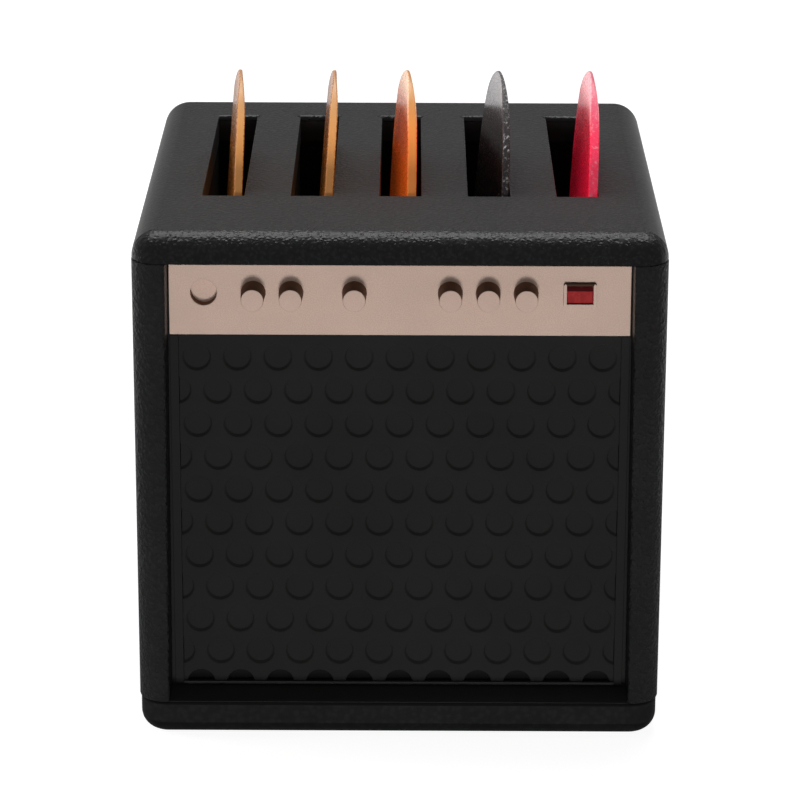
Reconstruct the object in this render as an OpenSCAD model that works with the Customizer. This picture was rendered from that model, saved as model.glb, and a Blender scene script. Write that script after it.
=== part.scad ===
// Guitar-pick holder shaped like a small practice amplifier.
// Units are millimetres. The origin is under the middle of the case, +Z is up and the front faces -Y.

/* [Case] */
// Width of the case, side to side
case_w = 60; // [54:0.5:90]
// Depth of the case, front to back
case_d = 65.5; // [62:0.5:90]
// Height of the case from the table to the top face
case_h = 60; // [56:0.5:90]
// Radius of the case's upright corners
corner_r = 3.2; // [2.5:0.1:4]
// Thickness of the side and back walls
wall = 2.2; // [1.6:0.1:3]

/* [Top cover] */
// Height of the top cover that shows above its parting line
cover_h = 3.2; // [2.8:0.1:5]
// Radius of the rounded edge round the top face
cover_edge_r = 2.4; // [1:0.1:2.5]
// Depth of the locating lip under the top cover
lip_h = 2; // [1:0.5:4]
// Thickness of the locating lips
lip_t = 1.2; // [0.8:0.1:2]

/* [Base plate] */
// Height of the base plate
base_h = 4.3; // [4:0.1:8]
// Radius of the rounded edge round the underside
base_edge_r = 3; // [1:0.1:3.1]
// How far the base plate stays in from the case sides, each side
base_inset = 0.15; // [0:0.05:0.5]
// Thickness of the base plate's floor
base_floor = 2; // [1.2:0.1:3]
// Height of the locating lip on the base plate
base_lip_h = 2; // [1:0.5:4]

/* [Slots and picks] */
// Number of pick slots
slot_count = 5; // [5]
// Width of a slot
slot_w = 4.8; // [4:0.1:5.5]
// Length of a slot, front to back
slot_l = 37.9; // [35:0.1:42]
// Distance between slot centre lines
slot_pitch = 10.2; // [9:0.1:11]
// Distance from the case front to the slots
slot_front = 17.7; // [14:0.1:20]
// Bevel round each slot's rim
slot_bevel = 0.3; // [0.1:0.05:0.5]
// Depth of a pocket under the top face
pocket_depth = 19.7; // [18:0.1:24]
// Clearance between the slot's sides and the pocket insert's sides
pocket_clearance = 0.1; // [0.05:0.05:0.3]
// Thickness of a pick
pick_t = 0.96; // [0.5:0.02:1.5]
// Width of a pick
pick_w = 26; // [24:0.5:30]
// Height from a pick's widest line to the end that stands up
pick_up = 19.6; // [16:0.1:22]
// Height from a pick's widest line to the end that it stands on
pick_down = 11.4; // [9:0.1:12]

/* [Front opening] */
// Width of each stile beside the front opening, at its top
stile_w = 3.9; // [3:0.1:5]
// Width that each stile loses towards its foot
stile_draft = 0.3; // [0:0.05:0.5]
// Distance from the case front to the grille face
grille_setback = 5.3; // [4:0.1:8]
// Thickness of the grille panel
grille_t = 2.4; // [2:0.1:3]
// Clearance round the panels where they slide into the case
panel_clearance = 0.1; // [0.05:0.05:0.3]

/* [Grille] */
// Distance between neighbouring dimples
dimple_pitch = 4.6; // [4:0.1:6]
// Diameter of a dimple
dimple_d = 3.3; // [2:0.1:3.8]
// Gap between the control strip's lower edge and the first row of dimples
dimple_head = 1.3; // [0.5:0.1:3]
// Depth of a dimple
dimple_depth = 0.8; // [0.4:0.1:1.2]
// Width of the rim at each side of the dimpled field
grille_rim_w = 1; // [0.6:0.1:3]
// Height of the lowest edge of the dimpled field above the base plate
field_foot = 0.6; // [0.4:0.1:2]
// Height by which the rim stands in front of the dimpled field
grille_rim_h = 0.4; // [0.2:0.1:0.8]

/* [Control strip] */
// Gap between each end of the control strip and the stile beside it
strip_end_gap = 0.15; // [0.05:0.05:0.5]
// Height of the control strip
strip_h = 8.2; // [7:0.1:10]
// Thickness of the control strip
strip_t = 1; // [0.8:0.1:1.6]
// Gap between the top cover and the control strip
strip_gap = 1.2; // [0.8:0.1:2]
// Height of the fittings' centre line above the strip's lower edge
fitting_z = 4.95; // [4:0.05:5.5]
// Diameter of a knob at its foot
knob_d = 2.8; // [2:0.1:3.4]
// Diameter of a knob at its face
knob_face_d = 2.54; // [1.6:0.02:2.6]
// How far a knob stands out of the strip
knob_l = 3.2; // [2:0.1:4]
// Diameter of a knob's peg
knob_peg_d = 1.4; // [1:0.1:1.6]
// Length of a knob's peg behind the strip's face
knob_peg_l = 2.6; // [1.6:0.1:3]
// Distance between knobs in one group
knob_pitch = 4.25; // [4:0.05:4.5]
// Distance from the strip's left end to the middle of the left pair of knobs
left_pair_in = 11.6; // [11:0.05:12]
// Distance from the strip's left end to the single knob
single_in = 20.85; // [20:0.05:22]
// Distance from the strip's right end to the middle of the right three knobs
right_group_in = 16.05; // [15.5:0.05:16.5]
// Distance from the strip's left end to the jack socket
jack_in = 3.9; // [3:0.05:4.2]
// Outer diameter of the jack socket
jack_d = 3.3; // [3.1:0.1:3.6]
// Diameter of the jack socket's opening
jack_bore = 2.88; // [2.4:0.02:2.9]
// Depth of the jack socket's opening
jack_depth = 1.9; // [1:0.1:2]
// Distance from the strip's right end to the middle of the power switch
switch_in = 5.75; // [5:0.05:6.5]
// Width of the switch bezel
bezel_w = 3.7; // [3.2:0.1:4.2]
// Height of the switch bezel
bezel_h = 3.3; // [2.8:0.1:3.6]
// How far the bezel stands out of the strip
bezel_out = 0.6; // [0.3:0.1:1]
// Width of the switch lens
lens_w = 2.9; // [2:0.1:3]
// Height of the switch lens
lens_h = 2.05; // [1.5:0.05:2.2]

/* [Inside] */
// Thickness of the shelf plate under the pocket insert
shelf_t = 1.2; // [1:0.1:2]
// Height of the ledges that carry the shelf plate
ledge_h = 1.8; // [1:0.1:3]
// Width of the ledges
ledge_w = 1.4; // [1:0.1:2]
// Thickness of the ribs behind the grille panel
rib_t = 1.5; // [1:0.1:2]
// Solid rim of the pocket insert in front of and behind the pockets
insert_rim = 2; // [1.5:0.1:4]
// Diameter of the case's screw posts
post_d = 6; // [5:0.1:7]
// Height of the screw posts above the base plate
post_h = 12; // [9:0.5:20]
// Distance of the post centres from the inner wall faces
post_inset = 2.7; // [2.5:0.1:3]
// Diameter of the screws' thread
screw_d = 2.2; // [2:0.1:2.6]
// Diameter of the screws' heads
screw_head_d = 4.2; // [3.6:0.1:4.5]
// Height of the screws' heads
screw_head_h = 1.4; // [1:0.1:1.8]
// Length of the screws under the head
screw_l = 9; // [7:0.5:12]
// Depth at which the screw heads sit under the base plate
screw_recess = 0.5; // [0.3:0.1:1]
// Clearance round the screws in the base plate
screw_clearance = 0.15; // [0.1:0.05:0.3]

/* [Hidden] */
$fn = 64;
tiny = 0.02;

// Levels and planes that several pieces share
front_y = -case_d / 2;
back_y = case_d / 2;
cover_z = case_h - cover_h;
inner_x = case_w / 2 - wall;
inner_back = back_y - wall;
grille_y = front_y + grille_setback;
grille_back = grille_y + grille_t;
strip_y = grille_y - strip_t;
strip_top = cover_z - strip_gap;
strip_z = strip_top - strip_h;
fitting_level = strip_z + fitting_z;
panel_half_w = inner_x - panel_clearance;
grille_top = cover_z - panel_clearance;
rib_y = grille_back + panel_clearance;
opening_half_w = case_w / 2 - stile_w;
lip_z = cover_z - lip_h;

// Places along the control strip
strip_half_w = opening_half_w - strip_end_gap;
jack_x = -strip_half_w + jack_in;
switch_x = strip_half_w - switch_in;
left_pair_x = -strip_half_w + left_pair_in;
right_group_x = strip_half_w - right_group_in;
knob_x = [
    left_pair_x - knob_pitch / 2, left_pair_x + knob_pitch / 2, -strip_half_w + single_in,
    right_group_x - knob_pitch, right_group_x, right_group_x + knob_pitch];

// Slots and picks
first_slot_x = -(slot_count - 1) / 2 * slot_pitch;
slot_y = front_y + slot_front;
pocket_z = case_h - pocket_depth;
shelf_z = pocket_z - shelf_t;
insert_half_w = inner_x - lip_t - 2 * panel_clearance;
// Each pick's place: offset of its front edge from the slot's centre line, then distance from
// the slot's front end, then the angles by which it turns about Z and leans to the right
pick_side = [1.52, 1.8, 1.2, 1.8, 1.68];
pick_back = [0.5, 0.35, 0.45, 0.25, 0.25];
pick_turn = [3.7, 1.6, 4.2, 5.2, 1.7];
pick_lean = [3.6, 4.2, 2.5, 3.6, 2.6];
pick_floor_gap = 0.1;
pick_sides = 72;
pick_up_power = 2.09;
pick_down_power = 2.5;

// Dimpled field, with rows staggered as equilateral triangles
rim_half_w = opening_half_w - panel_clearance;
field_half_w = rim_half_w - grille_rim_w;
row_rise = dimple_pitch * sin(60);
row_top = strip_z - dimple_head - dimple_d / 2;
row_count = ceil((row_top - base_h) / row_rise) + 1;
column_reach = ceil(field_half_w / dimple_pitch) + 1;
field_z = base_h + field_foot;

// Fittings of the control strip
fitting_fit = 0.05;
lens_back = 0.3;
cross_l = 2.2;
cross_w = 0.5;
cross_depth = 0.8;

// Screw posts
post_x = inner_x - post_inset;
post_front = rib_y + rib_t + post_inset;
post_rear = inner_back - post_inset;
pilot_d = screw_d - 0.3;

module rounded_plan(w, d, r) {
    square([w - 2 * r, d], center = true);
    square([w, d - 2 * r], center = true);
    for (x = [-1, 1], y = [-1, 1])
        translate([x * (w / 2 - r), y * (d / 2 - r)])
            circle(r);
}

// Half section of a slab's rim: a square foot and a rounded upper corner
module rim_section(plan_r, edge_r, h) {
    square([plan_r, h - edge_r]);
    square([plan_r - edge_r, h]);
    translate([plan_r - edge_r, h - edge_r])
        intersection() {
            circle(edge_r);
            square(edge_r);
        }
}

// Slab with upright corners of plan_r and its upper edge rounded by edge_r all round
module rounded_slab(w, d, h, plan_r, edge_r) {
    reach_x = w / 2 - plan_r;
    reach_y = d / 2 - plan_r;
    translate([-reach_x, -reach_y, 0])
        cube([2 * reach_x, 2 * reach_y, h]);
    for (turn = [0, 180])
        rotate(turn) {
            translate([reach_x, reach_y, 0])
                rotate([90, 0, 0])
                    linear_extrude(2 * reach_y)
                        rim_section(plan_r, edge_r, h);
            translate([-reach_x, reach_y, 0])
                rotate([90, 0, 90])
                    linear_extrude(2 * reach_x)
                        rim_section(plan_r, edge_r, h);
            translate([reach_x, reach_y, 0])
                rotate_extrude(angle = 90)
                    rim_section(plan_r, edge_r, h);
            translate([-reach_x, reach_y, 0])
                rotate(90)
                    rotate_extrude(angle = 90)
                        rim_section(plan_r, edge_r, h);
        }
}

// Block between two corners
module block(low, high) {
    translate(low)
        cube(high - low);
}

// Copies its children, which stand on the right half, to the left half too
module both_sides() {
    children();
    mirror([1, 0, 0])
        children();
}

// A slot's hole: straight sides from z_low to z_high, with a bevel that opens at z_high
module slot_hole(z_low, z_high) {
    half = slot_w / 2;
    translate([-half, slot_y, z_low])
        cube([slot_w, slot_l, z_high - z_low + tiny]);
    intersection() {
        translate([0, slot_y - slot_bevel, z_high])
            rotate([-90, 0, 0])
                linear_extrude(slot_l + 2 * slot_bevel)
                    polygon([
                        [-half, slot_bevel], [half, slot_bevel],
                        [half + slot_bevel + tiny, -tiny], [-half - slot_bevel - tiny, -tiny]]);
        translate([-slot_w, slot_y, z_high])
            rotate([90, 0, 90])
                linear_extrude(2 * slot_w)
                    polygon([
                        [0, -slot_bevel], [slot_l, -slot_bevel],
                        [slot_l + slot_bevel + tiny, tiny], [-slot_bevel - tiny, tiny]]);
    }
}

module top_cover() {
    color("#26262a")
        difference() {
            union() {
                translate([0, 0, cover_z])
                    rounded_slab(case_w, case_d, cover_h, corner_r, cover_edge_r);
                // Locating lip that drops inside the case walls and behind the grille panel
                difference() {
                    block(
                        [-inner_x + panel_clearance, rib_y, lip_z],
                        [inner_x - panel_clearance, inner_back - panel_clearance, cover_z + 1]);
                    block(
                        [-inner_x + panel_clearance + lip_t, rib_y + lip_t, lip_z - 1],
                        [inner_x - panel_clearance - lip_t,
                         inner_back - panel_clearance - lip_t, cover_z]);
                }
            }
            for (i = [0 : slot_count - 1])
                translate([first_slot_x + i * slot_pitch, 0, 0])
                    slot_hole(cover_z - 1, case_h);
        }
}

module pocket_insert() {
    hole_w = slot_w + 2 * pocket_clearance;
    color("#1b1b1d")
        difference() {
            block(
                [-insert_half_w, slot_y - insert_rim, pocket_z],
                [insert_half_w, slot_y + slot_l + insert_rim, cover_z]);
            for (i = [0 : slot_count - 1])
                translate([first_slot_x + i * slot_pitch - hole_w / 2, 0, 0])
                    block(
                        [0, slot_y - pocket_clearance, pocket_z - 1],
                        [hole_w, slot_y + slot_l + pocket_clearance, cover_z + 1]);
        }
}

module shelf_plate() {
    color("#222226")
        block(
            [-panel_half_w, rib_y + rib_t + panel_clearance, shelf_z],
            [panel_half_w, inner_back - panel_clearance, pocket_z]);
}

module body_shell() {
    opening_foot = opening_half_w + stile_draft;
    color("#242428") {
        difference() {
            translate([0, 0, base_h])
                linear_extrude(cover_z - base_h)
                    rounded_plan(case_w, case_d, corner_r);
            // Front opening, a little wider at its foot
            translate([0, grille_y + tiny, 0])
                rotate([90, 0, 0])
                    linear_extrude(grille_setback + 1)
                        polygon([
                            [-opening_foot, base_h - 1], [opening_foot, base_h - 1],
                            [opening_half_w, cover_z], [opening_half_w, cover_z + 1],
                            [-opening_half_w, cover_z + 1], [-opening_half_w, cover_z]]);
            // Space behind the two stiles
            block([-inner_x, grille_y, base_h - 1], [inner_x, inner_back, cover_z + 1]);
        }
        // Ribs that hold the grille panel from behind
        both_sides()
            block([opening_half_w, rib_y, base_h], [inner_x + tiny, rib_y + rib_t, lip_z]);
        // Ledges that carry the shelf plate
        both_sides()
            block(
                [inner_x - ledge_w, rib_y + rib_t - tiny, shelf_z - ledge_h],
                [inner_x + tiny, inner_back + tiny, shelf_z]);
        block(
            [-inner_x, inner_back - ledge_w, shelf_z - ledge_h],
            [inner_x, inner_back + tiny, shelf_z]);
        // Screw posts in the four corners
        screw_places()
            difference() {
                translate([0, 0, base_h])
                    cylinder(d = post_d, h = post_h);
                translate([0, 0, base_h - 1])
                    cylinder(d = pilot_d, h = post_h);
            }
    }
}

module screw_places() {
    for (x = [-post_x, post_x], y = [post_front, post_rear])
        translate([x, y, 0])
            children();
}

module base_plate() {
    base_w = case_w - 2 * base_inset;
    base_d = case_d - 2 * base_inset;
    lip_x = inner_x - panel_clearance;
    lip_back = inner_back - panel_clearance;
    hole_d = screw_d + 2 * screw_clearance;
    head_hole_d = screw_head_d + 2 * screw_clearance;
    color("#222226")
        difference() {
            union() {
                difference() {
                    translate([0, 0, base_h])
                        mirror([0, 0, 1])
                            rounded_slab(base_w, base_d, base_h, corner_r, base_edge_r);
                    block(
                        [-lip_x + lip_t, rib_y + rib_t, base_floor],
                        [lip_x - lip_t, lip_back - lip_t, base_h + 1]);
                }
                // Lips that locate the case walls, between and beside the screw posts
                both_sides()
                    block(
                        [lip_x - lip_t, post_front + post_d / 2 + panel_clearance, base_h - 1],
                        [lip_x, post_rear - post_d / 2 - panel_clearance, base_h + base_lip_h]);
                block(
                    [-post_x + post_d / 2 + panel_clearance, lip_back - lip_t, base_h - 1],
                    [post_x - post_d / 2 - panel_clearance, lip_back, base_h + base_lip_h]);
                screw_places()
                    translate([0, 0, base_floor - tiny])
                        cylinder(d = post_d, h = base_h - base_floor + tiny);
            }
            screw_places() {
                translate([0, 0, -1])
                    cylinder(d = hole_d, h = base_h + 2);
                translate([0, 0, -1])
                    cylinder(d = head_hole_d, h = screw_recess + screw_head_h + 1);
            }
        }
}

module base_screws() {
    color("#8d8f92")
        screw_places()
            difference() {
                union() {
                    translate([0, 0, screw_recess])
                        cylinder(d = screw_head_d, h = screw_head_h);
                    translate([0, 0, screw_recess + screw_head_h - tiny])
                        cylinder(d = pilot_d, h = screw_l + tiny);
                }
                // Cross recess in the head
                for (turn = [0, 90])
                    rotate(turn)
                        translate([-cross_l / 2, -cross_w / 2, screw_recess - 1])
                            cube([cross_l, cross_w, cross_depth + 1]);
            }
}

// Hole in the grille panel for a fitting that comes through the control strip
module fitting_hole(x, d) {
    translate([x, grille_y - 2, fitting_level])
        rotate([-90, 0, 0])
            cylinder(d = d, h = grille_t + 4);
}

module grille_panel() {
    rim_y = grille_y - grille_rim_h;
    rim_top = strip_z - panel_clearance;
    color("#29292c")
        difference() {
            union() {
                block([-panel_half_w, grille_y, base_h], [panel_half_w, grille_back, grille_top]);
                // Rim that frames the dimpled field at its sides and foot
                difference() {
                    block(
                        [-rim_half_w, rim_y, base_h],
                        [rim_half_w, grille_y + tiny, rim_top]);
                    block(
                        [-field_half_w, rim_y - 1, field_z],
                        [field_half_w, grille_y, rim_top + 1]);
                }
            }
            intersection() {
                block(
                    [-field_half_w, grille_y - 1, field_z],
                    [field_half_w, grille_y + dimple_depth, rim_top]);
                for (row = [0 : row_count - 1], column = [-column_reach : column_reach])
                    translate([
                        (column + (row % 2) / 2) * dimple_pitch,
                        grille_y - 1,
                        row_top - row * row_rise])
                        rotate([-90, 0, 0])
                            cylinder(d = dimple_d, h = dimple_depth + 1, $fn = 32);
            }
            for (x = knob_x)
                fitting_hole(x, knob_peg_d + 2 * fitting_fit);
            fitting_hole(jack_x, jack_d + 2 * fitting_fit);
            translate([switch_x, 0, fitting_level])
                block(
                    [-lens_w / 2 - fitting_fit, grille_y - 1, -lens_h / 2 - fitting_fit],
                    [lens_w / 2 + fitting_fit, grille_back + 1, lens_h / 2 + fitting_fit]);
        }
}

module control_panel() {
    color("#b59e8f")
        difference() {
            block([-strip_half_w, strip_y, strip_z], [strip_half_w, grille_y, strip_top]);
            for (x = knob_x)
                fitting_hole(x, knob_peg_d + 2 * fitting_fit);
            fitting_hole(jack_x, jack_d + 2 * fitting_fit);
            translate([switch_x, 0, fitting_level])
                block(
                    [-lens_w / 2 - fitting_fit, strip_y - 1, -lens_h / 2 - fitting_fit],
                    [lens_w / 2 + fitting_fit, grille_y + 1, lens_h / 2 + fitting_fit]);
        }
}

module jack_socket() {
    socket_l = grille_back - strip_y;
    color("#b59e8f")
        translate([jack_x, strip_y, fitting_level])
            rotate([-90, 0, 0])
                difference() {
                    cylinder(d = jack_d, h = socket_l);
                    translate([0, 0, -1])
                        cylinder(d = jack_bore, h = jack_depth + 1);
                }
}

module switch_bezel() {
    color("#b59e8f")
        translate([switch_x, strip_y, fitting_level])
            difference() {
                block([-bezel_w / 2, -bezel_out, -bezel_h / 2], [bezel_w / 2, 0, bezel_h / 2]);
                block(
                    [-lens_w / 2 - fitting_fit, -bezel_out - 1, -lens_h / 2 - fitting_fit],
                    [lens_w / 2 + fitting_fit, 1, lens_h / 2 + fitting_fit]);
            }
}

module switch_lens() {
    color("#a8161c")
        translate([switch_x, 0, fitting_level])
            block(
                [-lens_w / 2, strip_y - bezel_out + lens_back, -lens_h / 2],
                [lens_w / 2, grille_back, lens_h / 2]);
}

// Knob i, with its foot on the strip and its peg through the strip and the grille panel
module knob(i) {
    color("#b59e8f")
        translate([knob_x[i], strip_y, fitting_level])
            rotate([90, 0, 0]) {
                cylinder(d1 = knob_d, d2 = knob_face_d, h = knob_l);
                translate([0, 0, -knob_peg_l])
                    cylinder(d = knob_peg_d, h = knob_peg_l + tiny);
            }
}

module knob_1() { knob(0); }
module knob_2() { knob(1); }
module knob_3() { knob(2); }
module knob_4() { knob(3); }
module knob_5() { knob(4); }
module knob_6() { knob(5); }

// One coordinate on a rounded curve: the sign is kept while the size is raised to a power
function rounded(v, power) = sign(v) * pow(abs(v), 2 / power);

// Outline of a pick: y along its width, z up from the end that it stands on
function pick_outline() = [
    for (i = [0 : pick_sides - 1])
        let (
            a = 360 * (i + 0.5) / pick_sides,
            power = a < 180 ? pick_up_power : pick_down_power,
            reach = a < 180 ? pick_up : pick_down)
            [pick_w / 2 * (1 + rounded(cos(a), power)), pick_down + reach * rounded(sin(a), power)]];

// Pick i, standing in its pocket with its turn and lean about its own front foot
module pick(i) {
    slot_x = first_slot_x + i * slot_pitch;
    above_floor = case_h - pocket_z - pick_floor_gap;
    translate([slot_x + pick_side[i], slot_y + pick_back[i], case_h])
        rotate([0, pick_lean[i], pick_turn[i]])
            translate([-pick_t / 2, 0, -above_floor])
                rotate([90, 0, 90])
                    linear_extrude(pick_t)
                        polygon(pick_outline());
}

module pick_1() { color("#e0a04a") pick(0); }
module pick_2() { color("#dd9a48") pick(1); }
module pick_3() { color("#e2762a") pick(2); }
module pick_4() { color("#3b3438") pick(3); }
module pick_5() { color("#e8274e") pick(4); }

top_cover();
pocket_insert();
shelf_plate();
body_shell();
base_plate();
base_screws();
grille_panel();
control_panel();
jack_socket();
switch_bezel();
switch_lens();
knob_1();
knob_2();
knob_3();
knob_4();
knob_5();
knob_6();
pick_1();
pick_2();
pick_3();
pick_4();
pick_5();
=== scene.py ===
"""Looks of a desktop guitar-pick holder shaped like a small practice amplifier."""

import logging
import math
from collections.abc import Callable, Sequence
from dataclasses import dataclass, field
from enum import Enum

import bmesh
import bpy
from mathutils import Matrix, Vector


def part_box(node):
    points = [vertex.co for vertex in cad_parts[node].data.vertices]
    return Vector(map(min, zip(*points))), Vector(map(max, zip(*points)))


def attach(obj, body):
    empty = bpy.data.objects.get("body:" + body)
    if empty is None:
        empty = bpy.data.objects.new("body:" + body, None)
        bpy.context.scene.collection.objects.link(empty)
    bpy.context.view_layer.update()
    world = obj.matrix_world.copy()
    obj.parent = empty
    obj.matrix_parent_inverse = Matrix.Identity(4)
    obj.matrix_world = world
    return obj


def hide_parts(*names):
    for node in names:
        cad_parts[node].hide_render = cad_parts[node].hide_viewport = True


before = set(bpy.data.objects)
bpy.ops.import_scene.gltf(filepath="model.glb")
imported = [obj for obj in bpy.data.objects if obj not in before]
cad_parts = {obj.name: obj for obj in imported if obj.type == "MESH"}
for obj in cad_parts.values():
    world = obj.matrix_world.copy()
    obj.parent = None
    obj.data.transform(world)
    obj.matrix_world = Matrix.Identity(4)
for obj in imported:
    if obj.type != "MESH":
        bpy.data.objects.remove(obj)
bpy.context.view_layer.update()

MM = 0.001  # metres in a millimetre
CASE_BODY = "case"
SMOOTH_ANGLE = math.radians(50)  # bends up to this are shaded as one surface
FLAT_ANGLE = 0.02  # radians; a smaller bend counts as flat
SQUARE_ON = 0.999  # share of a normal that looks along a direction
SAME = 0.01  # lengths closer than this are the same
WELD = 0.0005  # points closer than this are joined
TOUCH = 0.0001  # points closer than this to a cutting plane lie in it
PAST = 1.0  # reach of a cutting solid past what it cuts
PLAY = 0.1  # room between pieces that are put together
UPRIGHT = Matrix.Rotation(math.radians(90), 3, "X")

Colour = tuple[float, float, float]
Point2 = tuple[float, float]
Point3 = tuple[float, float, float]
EdgeTest = Callable[[bmesh.types.BMEdge], bool]

log = logging.getLogger("pick_holder")


class Axis(Enum):
    """Direction along which a shape is pushed, turned or pierced."""

    X = 0
    Y = 1
    Z = 2

    @property
    def across(self) -> tuple[int, int]:
        """The two other directions, in order."""
        return tuple(i for i in range(3) if i != self.value)

    @property
    def unit(self) -> Vector:
        """Unit vector along this direction."""
        return Vector([1.0 if i == self.value else 0.0 for i in range(3)])

    def point(self, across: Point2, along: float) -> Vector:
        """Point from its two coordinates across and the one along this direction.

        Args:
            across: Coordinates along the two other directions.
            along: Coordinate along this direction.

        Returns:
            The point.
        """
        place = Vector((0.0, 0.0, 0.0))
        first, second = self.across
        place[first], place[second] = across
        place[self.value] = along
        return place


class PickKind(Enum):
    """Kinds of pick plastic that stand in the slots."""

    AMBER = "pick_amber"
    ORANGE = "pick_orange"
    SMOKE = "pick_smoke"
    PINK = "pick_pink"


def node_box(name: str) -> tuple[Vector, Vector]:
    """Corners of a solid of the frame, in millimetres.

    Args:
        name: The solid's name.

    Returns:
        Its lowest and highest corners.
    """
    low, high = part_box(name)
    return low / MM, high / MM


def near(first: float, second: float) -> bool:
    """Tells whether two lengths are the same but for rounding."""
    return abs(first - second) < SAME


def on_side(side: int, first: float, second: float) -> list[float]:
    """Puts the two ends of a span on one side of the middle, lowest first."""
    return sorted((side * first, side * second))


def runs_along(axis: Axis) -> EdgeTest:
    """Test for edges that run along a direction.

    Args:
        axis: The direction.

    Returns:
        The test.
    """

    def test(edge: bmesh.types.BMEdge) -> bool:
        """Compares the edge's two ends."""
        first, second = edge.verts[0].co, edge.verts[1].co
        return all(near(first[i], second[i]) for i in axis.across)

    return test


def lies_at(axis: Axis, level: float) -> EdgeTest:
    """Test for edges that lie in a plane and have a bend or an end there.

    Args:
        axis: The plane's normal.
        level: The plane's place along the normal.

    Returns:
        The test.
    """

    def test(edge: bmesh.types.BMEdge) -> bool:
        """Checks both ends and leaves out cuts across a flat face."""
        flat = len(edge.link_faces) == 2 and edge.calc_face_angle(0.0) < FLAT_ANGLE
        return not flat and all(near(vert.co[axis.value], level) for vert in edge.verts)

    return test


class Blank:
    """A solid in the making, in millimetres."""

    def __init__(self) -> None:
        """Starts with nothing."""
        self.bm = bmesh.new()

    def block(self, low: Sequence[float], high: Sequence[float]) -> "Blank":
        """Adds a block between two corners.

        Args:
            low: Lowest corner.
            high: Highest corner.

        Returns:
            This blank.
        """
        low, high = Vector(low), Vector(high)
        verts = bmesh.ops.create_cube(self.bm, size=1.0)["verts"]
        bmesh.ops.scale(self.bm, vec=high - low, verts=verts)
        bmesh.ops.translate(self.bm, vec=(low + high) / 2, verts=verts)
        return self

    def prism(self, corners: Sequence[Point2], axis: Axis, start: float, end: float) -> "Blank":
        """Adds a straight extrusion of a flat outline.

        Args:
            corners: Outline, as coordinates across the direction.
            axis: Direction of the extrusion.
            start: Where it starts along the direction.
            end: Where it ends.

        Returns:
            This blank.
        """
        verts = [self.bm.verts.new(axis.point(corner, start)) for corner in corners]
        face = self.bm.faces.new(verts)
        grown = bmesh.ops.extrude_face_region(self.bm, geom=[face])["geom"]
        moved = [item for item in grown if isinstance(item, bmesh.types.BMVert)]
        bmesh.ops.translate(self.bm, vec=axis.unit * (end - start), verts=moved)
        bmesh.ops.recalc_face_normals(self.bm, faces=self.bm.faces)
        return self

    def rod(self, centre: Point2, axis: Axis, start: float, end: float, radius: float,
            sides: int = 48) -> "Blank":
        """Adds a round rod.

        Args:
            centre: Coordinates of its centre line across the direction.
            axis: Direction of the rod.
            start: Where it starts along the direction.
            end: Where it ends.
            radius: Its radius.
            sides: Number of flat sides.

        Returns:
            This blank.
        """
        return self.turned([(0.0, start), (radius, start), (radius, end), (0.0, end)],
                           centre, axis, sides)

    def turned(self, profile: Sequence[Point2], centre: Point2, axis: Axis,
               steps: int = 48) -> "Blank":
        """Adds a lathe-turned solid.

        Args:
            profile: Points of the profile, as radius and place along the direction.
            centre: Coordinates of the turning axis across the direction.
            axis: Direction of the turning axis.
            steps: Number of steps in the full turn.

        Returns:
            This blank.
        """
        part = bmesh.new()
        base = axis.point(centre, 0.0)
        out = Axis((axis.value + 1) % 3).unit
        chain = [part.verts.new(base + out * radius + axis.unit * along)
                 for radius, along in profile]
        edges = [part.edges.new(pair) for pair in zip(chain, chain[1:])]
        bmesh.ops.spin(part, geom=chain + edges, cent=base, axis=axis.unit, dvec=(0, 0, 0),
                       angle=math.tau, steps=steps, use_merge=True, use_duplicate=False)
        bmesh.ops.remove_doubles(part, verts=part.verts, dist=WELD)
        bmesh.ops.recalc_face_normals(part, faces=part.faces)
        self.take_in(part)
        return self

    def take_in(self, part: bmesh.types.BMesh) -> None:
        """Adds another mesh under construction to this one and frees it.

        Args:
            part: The other mesh.
        """
        carrier = bpy.data.meshes.new("carrier")
        part.to_mesh(carrier)
        part.free()
        self.bm.from_mesh(carrier)
        bpy.data.meshes.remove(carrier)

    def soften(self, test: EdgeTest, width: float, segments: int = 3) -> "Blank":
        """Rounds the edges that pass a test.

        Args:
            test: Picks the edges.
            width: Width of the rounding on each side of the edge.
            segments: Number of strips in the rounding.

        Returns:
            This blank.
        """
        self.bm.normal_update()
        edges = [edge for edge in self.bm.edges if test(edge)]
        bmesh.ops.bevel(self.bm, geom=edges, offset=width, offset_type="OFFSET",
                        segments=segments, profile=0.5, affect="EDGES",
                        clamp_overlap=True, material=-1)
        return self

    def pierce(self, axis: Axis, low: Point2, high: Point2) -> "Blank":
        """Cuts a rectangular hole right through the two faces across a direction.

        Args:
            axis: Direction of the hole.
            low: Lowest corner of the hole across the direction.
            high: Its highest corner.

        Returns:
            This blank.
        """
        for side, levels in zip(axis.across, zip(low, high)):
            normal = Axis(side).unit
            for level in levels:
                self.bm.normal_update()
                flats = [face for face in self.bm.faces
                         if abs(face.normal[axis.value]) > SQUARE_ON]
                geom = list(dict.fromkeys(item for face in flats
                                          for item in (*face.verts, *face.edges)))
                bmesh.ops.bisect_plane(self.bm, geom=geom + flats, dist=TOUCH,
                                       plane_co=normal * level, plane_no=normal)
        self.bm.normal_update()
        inside = []
        for face in self.bm.faces:
            middle = face.calc_center_median()
            if abs(face.normal[axis.value]) > SQUARE_ON and all(
                    low[i] < middle[side] < high[i] for i, side in enumerate(axis.across)):
                inside.append(face)
        bmesh.ops.delete(self.bm, geom=inside, context="FACES")
        rim = [edge for edge in self.bm.edges if edge.is_boundary]
        bmesh.ops.bridge_loops(self.bm, edges=rim)
        bmesh.ops.recalc_face_normals(self.bm, faces=self.bm.faces)
        return self

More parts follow.
